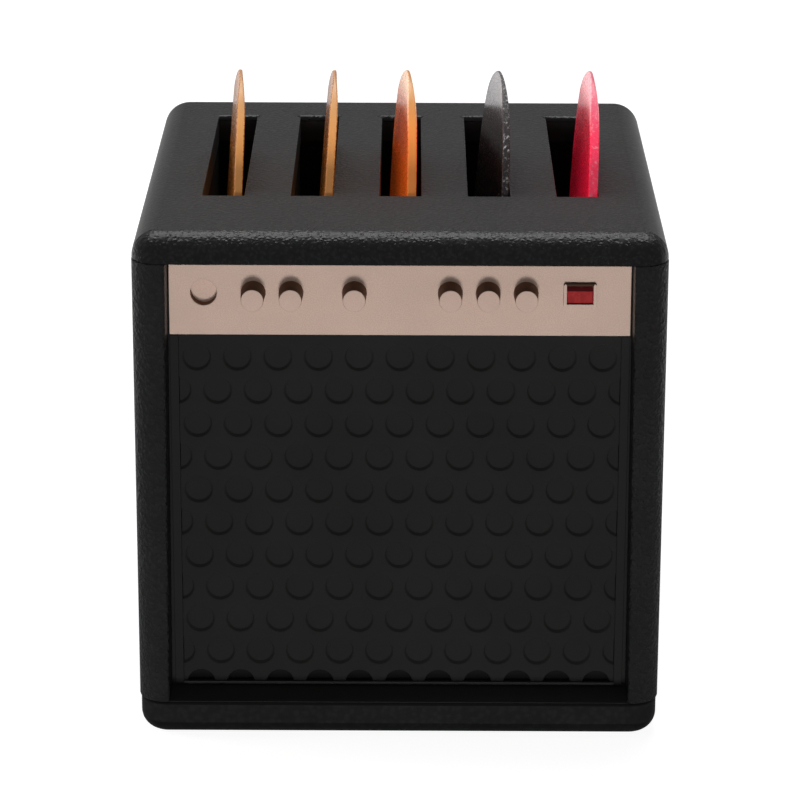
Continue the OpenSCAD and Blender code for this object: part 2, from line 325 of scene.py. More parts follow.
    def carve(self, tool: "Blank") -> "Blank":
        """Takes another solid's volume out of this one.

        Args:
            tool: The solid to take out. It is used up.

        Returns:
            This blank.
        """
        stock = self.as_object("stock")
        cutter = tool.as_object("cutter")
        cut = stock.modifiers.new("cut", "BOOLEAN")
        cut.operation = "DIFFERENCE"
        cut.solver = "EXACT"
        cut.object = cutter
        graph = bpy.context.evaluated_depsgraph_get()
        result = bpy.data.meshes.new_from_object(stock.evaluated_get(graph))
        self.bm = bmesh.new()
        self.bm.from_mesh(result)
        bmesh.ops.remove_doubles(self.bm, verts=self.bm.verts, dist=WELD)
        for leftover in (stock, cutter):
            mesh = leftover.data
            bpy.data.objects.remove(leftover)
            bpy.data.meshes.remove(mesh)
        bpy.data.meshes.remove(result)
        return self

    def as_object(self, name: str) -> bpy.types.Object:
        """Turns the blank into an object in the scene and frees it.

        Args:
            name: Name of the object.

        Returns:
            The object, with its mesh in the blank's own units.
        """
        mesh = bpy.data.meshes.new(name)
        self.bm.normal_update()
        self.bm.to_mesh(mesh)
        self.bm.free()
        made = bpy.data.objects.new(name, mesh)
        bpy.context.scene.collection.objects.link(made)
        return made

    def publish(self, name: str, body: str, nodes: Sequence[str], slot: str,
                *finishes: bpy.types.Material) -> bpy.types.Object:
        """Hands the blank over as a finished piece.

        Args:
            name: Name of the piece.
            body: Body of the frame that it moves with.
            nodes: Solids of the frame that it stands for.
            slot: Not used.
            *finishes: Its materials, in the order of its faces' material numbers.

        Returns:
            The piece.
        """
        bmesh.ops.scale(self.bm, vec=(MM, MM, MM), verts=self.bm.verts)
        piece = self.as_object(name)
        piece.data.shade_smooth()
        piece.data.set_sharp_from_angle(angle=SMOOTH_ANGLE)
        weights = piece.modifiers.new("even_shading", "WEIGHTED_NORMAL")
        weights.keep_sharp = True
        weights.weight = 100
        for finish in finishes:
            piece.data.materials.append(finish)
        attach(piece, body)
        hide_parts(*nodes)
        log.info("piece %s: %d faces, rides on %s", name, len(piece.data.polygons), body)
        return piece


class Graph:
    """Short way to write a node tree."""

    def __init__(self, tree: bpy.types.NodeTree) -> None:
        """Takes the tree to fill."""
        self.tree = tree

    def add(self, kind: str, inputs: dict | None = None, **settings: object) -> bpy.types.Node:
        """Adds a node.

        Args:
            kind: Node type without its ShaderNode prefix.
            inputs: Values or links for its inputs, by name or number.
            **settings: Properties of the node.

        Returns:
            The node.
        """
        made = self.tree.nodes.new(kind if kind.startswith("Node") else "ShaderNode" + kind)
        for key, value in settings.items():
            setattr(made, key, value)
        for key, value in (inputs or {}).items():
            if isinstance(value, bpy.types.NodeSocket):
                self.tree.links.new(value, made.inputs[key])
            else:
                made.inputs[key].default_value = value
        return made

    def math(self, operation: str, *values: object, clamp: bool = False) -> bpy.types.NodeSocket:
        """Adds a Math node and returns its output."""
        return self.add("Math", dict(enumerate(values)), operation=operation,
                        use_clamp=clamp).outputs[0]

    def ramp(self, value: bpy.types.NodeSocket, low: float, high: float,
             to_low: float = 0.0, to_high: float = 1.0) -> bpy.types.NodeSocket:
        """Maps one range of values smoothly to another.

        Args:
            value: The input.
            low: Lower end of the input range.
            high: Upper end of the input range.
            to_low: Output at the lower end.
            to_high: Output at the upper end.

        Returns:
            The mapped value.
        """
        return self.add("MapRange", {"Value": value, "From Min": low, "From Max": high,
                                     "To Min": to_low, "To Max": to_high},
                        interpolation_type="SMOOTHSTEP").outputs["Result"]

    def blend(self, factor: object, first: object, second: object) -> bpy.types.NodeSocket:
        """Mixes two colours.

        Args:
            factor: Share of the second colour.
            first: The first colour.
            second: The second colour.

        Returns:
            The mixed colour.
        """
        mix = self.add("Mix", data_type="RGBA")
        for index, value in ((0, factor), (6, first), (7, second)):
            if isinstance(value, bpy.types.NodeSocket):
                self.tree.links.new(value, mix.inputs[index])
            else:
                mix.inputs[index].default_value = value
        return mix.outputs[2]


class SharedEffects:
    """Surface effects that several finishes use, each a node group made once."""

    def __init__(self) -> None:
        """Builds the groups."""
        self.pebble = self._pebble()
        self.specks = self._specks()
        self.drift = self._drift()

    def _group(self, name: str, inputs: dict[str, float],
               outputs: Sequence[str]) -> tuple[bpy.types.NodeTree, Graph, bpy.types.Node,
                                                bpy.types.Node, bpy.types.NodeSocket]:
        """Starts a group with a Place input, in metres, and number inputs.

        Args:
            name: Name of the group.
            inputs: Names and usual values of its number inputs.
            outputs: Names of its number outputs.

        Returns:
            The tree, its graph, its input and output nodes, and the place in millimetres.
        """
        tree = bpy.data.node_groups.new(name, "ShaderNodeTree")
        tree.interface.new_socket("Place", in_out="INPUT", socket_type="NodeSocketVector")
        for key, value in inputs.items():
            made = tree.interface.new_socket(key, in_out="INPUT", socket_type="NodeSocketFloat")
            made.default_value = value
        for key in outputs:
            tree.interface.new_socket(key, in_out="OUTPUT", socket_type="NodeSocketFloat")
        graph = Graph(tree)
        entry = graph.add("NodeGroupInput")
        leave = graph.add("NodeGroupOutput")
        place = graph.add("VectorMath", {0: entry.outputs["Place"], 3: 1 / MM},
                          operation="SCALE").outputs[0]
        return tree, graph, entry, leave, place

    def _pebble(self) -> bpy.types.NodeTree:
        """Makes the pebbled skin: soft irregular grains with fine creases.

        Returns:
            The group.
        """
        tree, graph, entry, leave, place = self._group(
            "pebbled_skin", {"Grains Per Millimetre": 1.2, "Wander": 0.5}, ("Height", "Fine"))
        wander = graph.add("TexNoise", {"Vector": place, "Scale": 0.9, "Detail": 2.0})
        offset = graph.add("VectorMath", {0: wander.outputs["Color"], 1: (0.5, 0.5, 0.5)},
                           operation="SUBTRACT").outputs[0]
        offset = graph.add("VectorMath", {0: offset, 3: entry.outputs["Wander"]},
                           operation="SCALE").outputs[0]
        moved = graph.add("VectorMath", {0: place, 1: offset}, operation="ADD").outputs[0]
        grains = graph.add("TexVoronoi", {"Vector": moved,
                                          "Scale": entry.outputs["Grains Per Millimetre"],
                                          "Smoothness": 0.6}, feature="SMOOTH_F1")
        dome = graph.ramp(grains.outputs["Distance"], 0.62, 0.05)
        swell = graph.add("TexNoise", {"Vector": moved, "Scale": 1.7, "Detail": 3.0,
                                       "Roughness": 0.55})
        height = graph.add("Math", {0: dome, 1: 0.6, 2: graph.math(
            "MULTIPLY", swell.outputs["Fac"], 0.75)}, operation="MULTIPLY_ADD").outputs[0]
        fine = graph.add("TexNoise", {"Vector": place, "Scale": 7.0, "Detail": 3.0})
        tree.links.new(height, leave.inputs["Height"])
        tree.links.new(fine.outputs["Fac"], leave.inputs["Fine"])
        return tree

    def _specks(self) -> bpy.types.NodeTree:
        """Makes sparse dust specks.

        Returns:
            The group.
        """
        tree, graph, entry, leave, place = self._group(
            "dust_specks", {"Cells Per Millimetre": 0.35, "Share": 0.15, "Radius": 0.05},
            ("Mask",))
        cells = graph.add("TexVoronoi", {"Vector": place,
                                         "Scale": entry.outputs["Cells Per Millimetre"]})
        reach = graph.math("MULTIPLY", entry.outputs["Radius"],
                           entry.outputs["Cells Per Millimetre"])
        inside = graph.math("LESS_THAN", cells.outputs["Distance"], reach)
        tone = graph.add("SeparateColor", {"Color": cells.outputs["Color"]})
        chosen = graph.math("LESS_THAN", tone.outputs[0], entry.outputs["Share"])
        mask = graph.math("MULTIPLY", graph.math("MULTIPLY", inside, chosen), tone.outputs[1])
        tree.links.new(mask, leave.inputs["Mask"])
        return tree

    def _drift(self) -> bpy.types.NodeTree:
        """Makes a slow drift of tone from place to place.

        Returns:
            The group.
        """
        tree, graph, entry, leave, place = self._group(
            "tone_drift", {"Patches Per Millimetre": 0.1, "Depth": 0.1}, ("Tone",))
        noise = graph.add("TexNoise", {"Vector": place,
                                       "Scale": entry.outputs["Patches Per Millimetre"],
                                       "Detail": 4.0, "Roughness": 0.6})
        centred = graph.math("SUBTRACT", noise.outputs["Fac"], 0.5)
        spread = graph.math("MULTIPLY", centred, entry.outputs["Depth"])
        tree.links.new(graph.math("ADD", graph.math("MULTIPLY", spread, 2.0), 1.0),
                       leave.inputs["Tone"])
        return tree


EFFECTS = SharedEffects()


class Finish:
    """Start of every finish: a Principled surface that reads Object coordinates."""

    material: bpy.types.Material
    graph: Graph
    shader: bpy.types.Node
    place: bpy.types.NodeSocket

    def start(self, name: str) -> None:
        """Makes the empty material.

        Args:
            name: Name of the material.
        """
        made = bpy.data.materials.new(name)
        made.use_nodes = True
        graph = Graph(made.node_tree)
        parts = {"material": made, "graph": graph,
                 "shader": made.node_tree.nodes["Principled BSDF"],
                 "place": graph.add("TexCoord").outputs["Object"]}
        for key, value in parts.items():
            object.__setattr__(self, key, value)

    def level(self, along: Axis) -> bpy.types.NodeSocket:
        """Gives the place on the piece along a direction, in metres."""
        return self.graph.add("SeparateXYZ", {0: self.place}).outputs[along.value]

    def effect(self, tree: bpy.types.NodeTree, **values: float) -> bpy.types.Node:
        """Places a shared effect.

        Args:
            tree: The effect's group.
            **values: Its inputs, with underscores for spaces.

        Returns:
            The group node.
        """
        node = self.graph.add("Group", node_tree=tree)
        self.graph.tree.links.new(self.place, node.inputs["Place"])
        for key, value in values.items():
            node.inputs[key.replace("_", " ")].default_value = value
        return node

    def feed(self, socket: str, value: bpy.types.NodeSocket) -> None:
        """Links a value to the surface."""
        self.graph.tree.links.new(value, self.shader.inputs[socket])

    def fix(self, **values: float) -> None:
        """Sets sockets of the surface that are the same all over it."""
        for key, value in values.items():
            self.shader.inputs[key.replace("_", " ")].default_value = value

    def toned(self, colour: Colour, tone: bpy.types.NodeSocket) -> bpy.types.NodeSocket:
        """Multiplies a colour by a tone.

        Args:
            colour: The colour.
            tone: The tone, about one.

        Returns:
            The toned colour.
        """
        return self.graph.add("VectorMath", {0: colour, 3: tone}, operation="SCALE").outputs[0]

    def bump(self, height: bpy.types.NodeSocket, distance: float) -> None:
        """Raises the surface by a height of up to a distance in millimetres."""
        node = self.graph.add("Bump", {"Height": height, "Strength": 1.0,
                                       "Distance": distance * MM})
        self.feed("Normal", node.outputs["Normal"])


@dataclass(frozen=True)
class PebbledPlastic(Finish):
    """Black moulded plastic with a pebbled, cloth-like skin."""

    name: str
    colour: Colour = (0.0055, 0.0055, 0.0058)
    roughness: float = 0.34
    specular: float = 0.16
    grains: float = 1.3
    relief: float = 0.06
    fine: float = 0.12
    crest_highlight: float = 0.15
    dust: float = 0.3
    dust_colour: tuple[float, ...] = (0.75, 0.75, 0.75, 1.0)
    specks: float = 0.08
    sheen: float = 0.0
    sheen_from: float = 26.9
    sheen_to: float = 29.6
    grain_span: Point2 = (0.2, 0.9)

    def make(self) -> bpy.types.Material:
        """Builds the material.

        Returns:
            The material.
        """
        self.start(self.name)
        graph = self.graph
        skin = self.effect(EFFECTS.pebble, Grains_Per_Millimetre=self.grains, Wander=0.6)
        drift = self.effect(EFFECTS.drift, Patches_Per_Millimetre=0.12, Depth=0.3)
        specks = self.effect(EFFECTS.specks, Cells_Per_Millimetre=0.3, Share=self.specks,
                             Radius=0.08)
        # Painted highlight and shade: pebble crests are painted lighter and the hollows between
        # them darker, standing in for highlights on the pebbles.
        painted_crest_light = graph.ramp(skin.outputs["Height"], *self.grain_span, 1.0 - self.crest_highlight,
                          1.0 + self.crest_highlight)
        base = self.toned(self.colour, graph.math("MULTIPLY", drift.outputs["Tone"], painted_crest_light))
        colour = graph.blend(graph.math("MULTIPLY", specks.outputs["Mask"], self.dust),
                             base, self.dust_colour)
        self.feed("Base Color", colour)
        rough = graph.ramp(skin.outputs["Height"], *self.grain_span, self.roughness + 0.06,
                           self.roughness - 0.03)
        height = graph.add("Math", {0: skin.outputs["Fine"], 1: self.fine,
                                    2: skin.outputs["Height"]},
                           operation="MULTIPLY_ADD").outputs[0]
        self.feed("Roughness", rough)
        self.bump(height, self.relief)
        if self.sheen > 0:
            across = self.level(Axis.X)
            self.feed("Coat Weight", graph.ramp(graph.math("ABSOLUTE", across),
                                                self.sheen_from * MM, self.sheen_to * MM,
                                                0.0, self.sheen))
        self.fix(Specular_IOR_Level=self.specular, Coat_Roughness=0.4)
        return self.material


@dataclass(frozen=True)
class SmoothPlastic(Finish):
    """Plain moulded plastic with a fine matte texture."""

    name: str
    colour: Colour
    roughness: float = 0.5
    specular: float = 0.25
    relief: float = 0.008
    dust: float = 0.25
    dust_colour: tuple[float, ...] = (0.75, 0.74, 0.72, 1.0)
    # Painted shade: the colour is scaled by foot at foot_low, rising to full at foot_high, so it
    # darkens towards the bottom.
    foot: float = 1.0
    foot_low: float = 5.3
    foot_high: float = 6.6

    def make(self) -> bpy.types.Material:
        """Builds the material.

        Returns:
            The material.
        """
        self.start(self.name)
        graph = self.graph
        skin = self.effect(EFFECTS.pebble, Grains_Per_Millimetre=3.5, Wander=0.4)
        drift = self.effect(EFFECTS.drift, Patches_Per_Millimetre=0.09, Depth=0.18)
        specks = self.effect(EFFECTS.specks, Cells_Per_Millimetre=0.22, Share=0.06, Radius=0.08)
        # Painted shade, darker towards the bottom.
        shade = graph.ramp(self.level(Axis.Z), self.foot_low * MM, self.foot_high * MM,
                           self.foot, 1.0)
        base = self.toned(self.colour, graph.math("MULTIPLY", drift.outputs["Tone"], shade))
        colour = graph.blend(graph.math("MULTIPLY", specks.outputs["Mask"], self.dust),
                             base, self.dust_colour)
        self.feed("Base Color", colour)
        self.feed("Roughness", graph.ramp(drift.outputs["Tone"], 0.85, 1.15,
                                          self.roughness - 0.05, self.roughness + 0.06))
        self.bump(skin.outputs["Fine"], self.relief)
        self.fix(Specular_IOR_Level=self.specular)
        return self.material


@dataclass(frozen=True)
class FoamSheet(Finish):
    """Black closed-cell foam with open cells on its cut sides."""

    name: str
    colour: Colour = (0.036, 0.034, 0.03)
    pit_shade_colour: tuple[float, ...] = (0.02, 0.019, 0.017, 1.0)

    def make(self) -> bpy.types.Material:
        """Builds the material.

        Returns:
            The material.
        """
        self.start(self.name)
        graph = self.graph
        cells = graph.add("TexVoronoi", {"Vector": self.place, "Scale": 3.2 / MM})
        pits = graph.ramp(cells.outputs["Distance"], 0.1, 0.5)
        drift = self.effect(EFFECTS.drift, Patches_Per_Millimetre=0.3, Depth=0.25)
        base = self.toned(self.colour, drift.outputs["Tone"])
        # Painted shade: the pits are painted darker than the foam's face.
        self.feed("Base Color", graph.blend(pits, self.pit_shade_colour, base))
        self.feed("Roughness", graph.ramp(pits, 0.0, 1.0, 0.95, 0.8))
        self.bump(pits, 0.05)
        self.fix(Specular_IOR_Level=0.03)
        return self.material


@dataclass(frozen=True)
class SatinChampagne(Finish):
    """Satin champagne coating with a very fine speckle."""

    name: str
    colour: Colour = (0.43, 0.315, 0.263)
    roughness: float = 0.5
    specular: float = 0.02
    speckle: float = 0.1

    def make(self) -> bpy.types.Material:
        """Builds the material.

        Returns:
            The material.
        """
        self.start(self.name)
        graph = self.graph
        flakes = graph.add("TexNoise", {"Vector": self.place, "Scale": 9.0 / MM, "Detail": 2.0})
        drift = self.effect(EFFECTS.drift, Patches_Per_Millimetre=0.2, Depth=0.07)
        fleck = graph.ramp(flakes.outputs["Fac"], 0.3, 0.7, 1.0 - self.speckle,
                           1.0 + self.speckle)
        tone = graph.math("MULTIPLY", fleck, drift.outputs["Tone"])
        self.feed("Base Color", self.toned(self.colour, tone))
        self.feed("Roughness", graph.ramp(flakes.outputs["Fac"], 0.3, 0.7,
                                          self.roughness + 0.06, self.roughness - 0.06))
        self.bump(flakes.outputs["Fac"], 0.004)
        self.fix(Specular_IOR_Level=self.specular)
        return self.material


@dataclass(frozen=True)
class RedLens(Finish):
    """Glossy translucent red with a moulded ripple."""

    name: str
    colour: Colour = (0.225, 0.019, 0.02)

    def make(self) -> bpy.types.Material:
        """Builds the material.

        Returns:
            The material.
        """
        self.start(self.name)
        drift = self.effect(EFFECTS.drift, Patches_Per_Millimetre=0.9, Depth=0.5)
        self.feed("Base Color", self.toned(self.colour, drift.outputs["Tone"]))
        self.feed("Roughness", self.graph.ramp(drift.outputs["Tone"], 0.7, 1.3, 0.18, 0.34))
        self.bump(drift.outputs["Tone"], 0.05)
        self.fix(Specular_IOR_Level=0.12)
        return self.material


@dataclass(frozen=True)
class ZincSteel(Finish):
    """Plain zinc-coated steel."""

    name: str
    colour: Colour = (0.55, 0.55, 0.57)

    def make(self) -> bpy.types.Material:
        """Builds the material.

        Returns:
            The material.
        """
        self.start(self.name)
        drift = self.effect(EFFECTS.drift, Patches_Per_Millimetre=1.5, Depth=0.25)
        self.feed("Base Color", self.toned(self.colour, drift.outputs["Tone"]))
        self.feed("Roughness", self.graph.ramp(drift.outputs["Tone"], 0.7, 1.3, 0.28, 0.46))
        self.bump(drift.outputs["Tone"], 0.01)
        self.fix(Metallic=1.0)
        return self.material


@dataclass(frozen=True)
class PickPlastic(Finish):
    """Translucent pick plastic."""

    name: str
    colour: Colour
    # Painted light: the colour at the top of the pick, lighter or paler than the lower part.
    lit_crown: Colour
    transmission: float
    roughness: float = 0.18
    relief: float = 0.006
    sparkle: float = 0.0
    crown_start: float = 65.5
    crown_end: float = 70.2
    fleck: tuple[float, ...] = (0.9, 0.85, 0.85, 1.0)
    # Painted glow: the pick's own colour is emitted, strongest at the front and fading towards
    # the back, and stronger at the top.
    glow: float = 0.0
    glow_front: float = 0.0
    glow_fade: float = 1.0
    glow_back: float = 0.0
    crown_glow: float = 0.0

    def make(self) -> bpy.types.Material:
        """Builds the material.

        Returns:
            The material.
        """
        self.start(self.name)
        graph = self.graph
        drift = self.effect(EFFECTS.drift, Patches_Per_Millimetre=0.35, Depth=0.16)
        rub = graph.add("TexNoise", {"Vector": self.place, "Scale": 2.6 / MM, "Detail": 4.0,
                                     "Roughness": 0.7})
        fleck = graph.math("MULTIPLY", graph.ramp(rub.outputs["Fac"], 0.55, 0.63),
                           self.sparkle)
        # Painted light: the colour changes to the lighter top colour with height.
        rise = graph.ramp(self.level(Axis.Z), self.crown_start * MM, self.crown_end * MM)
        base = graph.blend(rise, self.toned(self.colour, drift.outputs["Tone"]),
                           self.toned(self.lit_crown, drift.outputs["Tone"]))
        colour = graph.blend(fleck, base, self.fleck)
        self.feed("Base Color", colour)
        # Painted glow, standing in for light that passes through the pick.
        lit = graph.ramp(self.level(Axis.Y), self.glow_front * MM,
                         (self.glow_front + self.glow_fade) * MM, 1.0, self.glow_back)
        lit = graph.math("ADD", lit, graph.math("MULTIPLY", rise, self.crown_glow))
        self.feed("Emission Color", graph.add("VectorMath", {0: colour, 3: lit},
                                              operation="SCALE").outputs[0])
        self.feed("Roughness", graph.ramp(rub.outputs["Fac"], 0.3, 0.7, self.roughness - 0.08,
                                          self.roughness + 0.12))
        self.bump(rub.outputs["Fac"], self.relief)
        self.fix(Transmission_Weight=self.transmission, IOR=1.49,
                 Emission_Strength=self.glow)
        return self.material


class Finishes:
    """Every finish of the object, made once."""

    def __init__(self) -> None:
        """Makes the materials."""
        self.skin = PebbledPlastic("pebbled_black", (0.0102, 0.0102, 0.0108), grains=1.8,
                                   relief=0.28, fine=0.3).make()
        self.base = PebbledPlastic("pebbled_black_base", (0.0105, 0.0105, 0.0108),
                                   specular=0.05, relief=0.02).make()
        # Painted shade: a darker copy of the base plastic for the base's downward faces.
        self.base_foot_shade = PebbledPlastic("pebbled_black_base_painted_shade", (0.006, 0.006, 0.0062),
                                        specular=0.05, relief=0.02).make()
        # Painted light: the base's flat top under the grille is painted lighter than the base
        # plastic; its specks are dust.
        self.ledge = SmoothPlastic("dusty_black_ledge_painted_light", (0.048, 0.048, 0.048),
                                   specular=0.1).make()
        self.cover = PebbledPlastic("pebbled_black_cover", (0.0058, 0.0058, 0.0064),
                                    roughness=0.28, specular=0.22, grains=2.3,
                                    relief=0.07, fine=0.1, specks=0.2,
                                    crest_highlight=0.4).make()
        # Painted light: the cover's side and rear roundings and its flat top are copies of the
        # cover plastic painted lighter than its front.
        self.cover_side_lit = PebbledPlastic("pebbled_black_side_painted_light", (0.015, 0.0146, 0.0153),
                                         roughness=0.6, specular=0.25, grains=2.1,
                                         relief=0.18, fine=0.3, sheen=0.7).make()
        self.cover_top_lit = PebbledPlastic("pebbled_black_top_painted_light", (0.015, 0.0146, 0.0153),
                                        roughness=0.6, specular=0.25, grains=2.1,
                                        relief=0.18, fine=0.3).make()
        self.grille = SmoothPlastic("matte_black_grille", (0.0136, 0.0133, 0.0133),
                                    specular=0.04, roughness=0.6).make()
        # Painted shade: a darker copy of the grille that darkens further towards the bottom.
        self.shade = SmoothPlastic("matte_black_grille_foot_painted_shade", (0.0125, 0.0125, 0.0125),
                                   specular=0.03, roughness=0.6, foot=0.5,
                                   foot_high=8.0).make()
        # Painted light: the dimple walls are painted lighter than the grille's face.
        self.lit_dimple_wall = SmoothPlastic("matte_black_dimple_wall_painted_light", (0.02, 0.0195, 0.019),
                                    specular=0.04, roughness=0.6).make()
        # Painted shade: a dark copy for the base's top rounding.
        self.edge = SmoothPlastic("black_edge_painted_shade", (0.0035, 0.0035, 0.0035),
                                  specular=0.08, roughness=0.4).make()
        # Painted highlight: the grille's foot lip is painted lighter than the grille.
        self.lip = SmoothPlastic("black_lip_painted_highlight", (0.036, 0.036, 0.036), specular=0.3,
                                 roughness=0.4).make()
        # Painted shade on the sides of the knobs and on the jack's bore.
        self.shaded_recess = SatinChampagne("painted_shade_champagne", (0.22, 0.115, 0.07)).make()
        # Also painted light on the cover's slot walls, which are lighter than the cover plastic.
        self.inner = SmoothPlastic("plain_black_inner", (0.035, 0.034, 0.033)).make()
        self.foam = FoamSheet("black_foam").make()
        self.strip = SatinChampagne("satin_champagne").make()
        self.knob = SatinChampagne("satin_champagne_knob", speckle=0.06).make()
        # Painted shade on the switch frame's top and side chamfers.
        self.shaded_brow = SatinChampagne("dark_champagne_painted_shade", (0.055, 0.033, 0.023)).make()
        self.lens = RedLens("red_lens").make()
        # Painted shade on the window's upper fold.
        self.shaded_lens = RedLens("red_lens_painted_shade", (0.045, 0.004, 0.005)).make()
        self.steel = ZincSteel("zinc_steel").make()


@dataclass
class Case:
    """Cover, walls and base of the case."""

    finishes: Finishes
    corner_round: float = 3.2
    cover_round: float = 3.1
    base_round: float = 2.3
    wall: float = 2.2
    stile: float = 3.9
    draft: float = 0.3
    setback: float = 5.3
    stile_round: float = 0.35
    seam_round: float = 0.14
    base_edge: float = 0.36
    slot_count: int = 5
    slot_wide: float = 4.8
    slot_long: float = 37.9
    slot_pitch: float = 10.2
    slot_front: float = 17.7
    slot_rim: float = 0.7
    slot_side_rim: float = 0.12
    cover_stretch: float = 1.14
    lip: float = 1.2
    rib: float = 1.5
    ledge_wide: float = 1.4
    ledge_high: float = 1.8
    post_wide: float = 6.0
    post_inset: float = 2.7
    pilot_wide: float = 1.9
    screw_hole: float = 2.5
    head_hole: float = 4.5
    head_deep: float = 1.9
    base_floor: float = 2.0
    lip_root: float = 0.3
    rib_gap: float = 2.0
    post_high: float = 12.0
    pilot_deep: float = 11.0
    corner_steps: int = 12
    low: Vector = field(init=False)
    high: Vector = field(init=False)

    def __post_init__(self) -> None:
        """Reads the levels that the frame's solids set."""
        shell_low, shell_high = node_box("body_shell")
        self.low, self.high = shell_low, shell_high
        self.cover_low, self.cover_high = node_box("top_cover")
        self.base_low, self.base_high = node_box("base_plate")
        self.parting = shell_high.z
        self.base_top = shell_low.z
        self.inner_x = shell_high.x - self.wall
        self.inner_back = shell_high.y - self.wall
        self.grille_front = shell_low.y + self.setback
        self.rib_front = node_box("grille_panel")[1].y + PLAY
        self.shelf_under = node_box("shelf_plate")[0].z
        post_x = self.inner_x - self.post_inset
        post_front = self.rib_front + self.rib + self.post_inset
        post_rear = self.inner_back - self.post_inset
        self.posts = [(x, y) for x in (-post_x, post_x) for y in (post_front, post_rear)]

    def build(self) -> None:
        """Builds every piece of the case."""
        self.cover()
        self.cover_lip()
        self.walls()
        self.inside()
        self.base()

    def cover(self) -> None:
        """Builds the top cover: rounded slab with five slots."""
        blank = Blank().block((self.cover_low.x, self.cover_low.y, self.parting),
                              self.cover_high)
        blank.soften(runs_along(Axis.Z), self.corner_round, self.corner_steps)
        blank.soften(lies_at(Axis.Z, self.cover_high.z), self.cover_round, self.corner_steps)
        blank.soften(lies_at(Axis.Z, self.parting), self.seam_round, 2)
        start = self.cover_low.y + self.slot_front
        for index in range(self.slot_count):
            middle = (index - (self.slot_count - 1) / 2) * self.slot_pitch
            blank.pierce(Axis.Z, (middle - self.slot_wide / 2, start),
                         (middle + self.slot_wide / 2, start + self.slot_long))
        top, back = lies_at(Axis.Z, self.cover_high.z), start + self.slot_long
        wide = (self.slot_count - 1) / 2 * self.slot_pitch + self.slot_wide / 2 + SAME

        def slot_edge(edge: bmesh.types.BMEdge) -> bool:
            """Picks the upper edges of the slots."""
            return top(edge) and all(abs(vert.co.x) < wide and vert.co.y > start - SAME
                                     for vert in edge.verts)

        blank.soften(lambda edge: slot_edge(edge) and lies_at(Axis.Y, back)(edge),
                     self.slot_rim, 6)
        blank.soften(slot_edge, self.slot_side_rim, 2)
        front, reach = self.cover_low.y, max(self.cover_round, self.corner_round)
        for vert in blank.bm.verts:
            if vert.co.y < front + reach + SAME:
                vert.co.y = front + (vert.co.y - front) * self.cover_stretch
        blank.bm.normal_update()
        edge = self.cover_high - Vector((self.cover_round, self.cover_round, 0))
        # The flat top and the side and rear roundings take the copies painted lighter, as painted
        # light.
        outside, flat_top, side, slot_wall_lit = range(4)
        for surface in blank.bm.faces:
            place, rise = surface.calc_center_median(), surface.normal.z
            behind = place.y > front + reach * self.cover_stretch
            rounded = rise > 0.05 and (abs(place.x) > edge.x or place.y > edge.y)
            slotted = abs(place.x) < wide and start - SAME < place.y < back + SAME + self.slot_rim
            surface.material_index = side if behind and rounded else outside
            if rise > 0.995:
                surface.material_index = flat_top
            # Painted light: the slot walls take the lighter inner plastic.
            if slotted and abs(rise) < 0.05:
                surface.material_index = slot_wall_lit
        blank.publish("cover", CASE_BODY, ["top_cover"], "case_black", self.finishes.cover,
                      self.finishes.cover_top_lit, self.finishes.cover_side_lit, self.finishes.inner)

    def cover_lip(self) -> None:
        """Builds the locating lip under the cover."""
        low = Vector((-self.inner_x + PLAY, self.rib_front, self.cover_low.z))
        high = Vector((self.inner_x - PLAY, self.inner_back - PLAY,
                       self.parting + self.lip_root))
        blank = Blank().block(low, high)
        blank.pierce(Axis.Z, (low.x + self.lip, low.y + self.lip),
                     (high.x - self.lip, high.y - self.lip))
        blank.publish("cover_lip", CASE_BODY, ["top_cover"], "case_black", self.finishes.inner)

    def walls(self) -> None:
        """Builds the side and back walls with the two stiles beside the front opening."""
        out_x, front, back = self.high.x, self.low.y, self.high.y
        jamb = out_x - self.stile
        half = [(out_x, back), (out_x, front), (jamb, front), (jamb, self.grille_front),
                (self.inner_x, self.grille_front), (self.inner_x, self.inner_back)]
        plan = half + [(-x, y) for x, y in reversed(half)]
        blank = Blank().prism(plan, Axis.Z, self.base_top, self.parting)
        for vert in blank.bm.verts:
            if near(abs(vert.co.x), jamb) and near(vert.co.z, self.base_top):
                vert.co.x += math.copysign(self.draft, vert.co.x)

        def outer_corner(edge: bmesh.types.BMEdge) -> bool:
            """Picks the four upright outer corners."""
            place = edge.verts[0].co
            return (runs_along(Axis.Z)(edge) and near(abs(place.x), out_x)
                    and (near(place.y, front) or near(place.y, back)))

        def jamb_edge(edge: bmesh.types.BMEdge) -> bool:
            """Picks the two edges where the stiles turn into the opening."""
            return all(near(vert.co.y, front) and abs(vert.co.x) < jamb + self.draft + SAME
                       for vert in edge.verts)

        blank.soften(outer_corner, self.corner_round, self.corner_steps)
        blank.soften(jamb_edge, self.stile_round, 4)
        blank.soften(lies_at(Axis.Z, self.parting), self.seam_round, 2)
        blank.soften(lies_at(Axis.Z, self.base_top), self.seam_round, 2)
        blank.publish("walls", CASE_BODY, ["body_shell"], "case_black", self.finishes.skin)

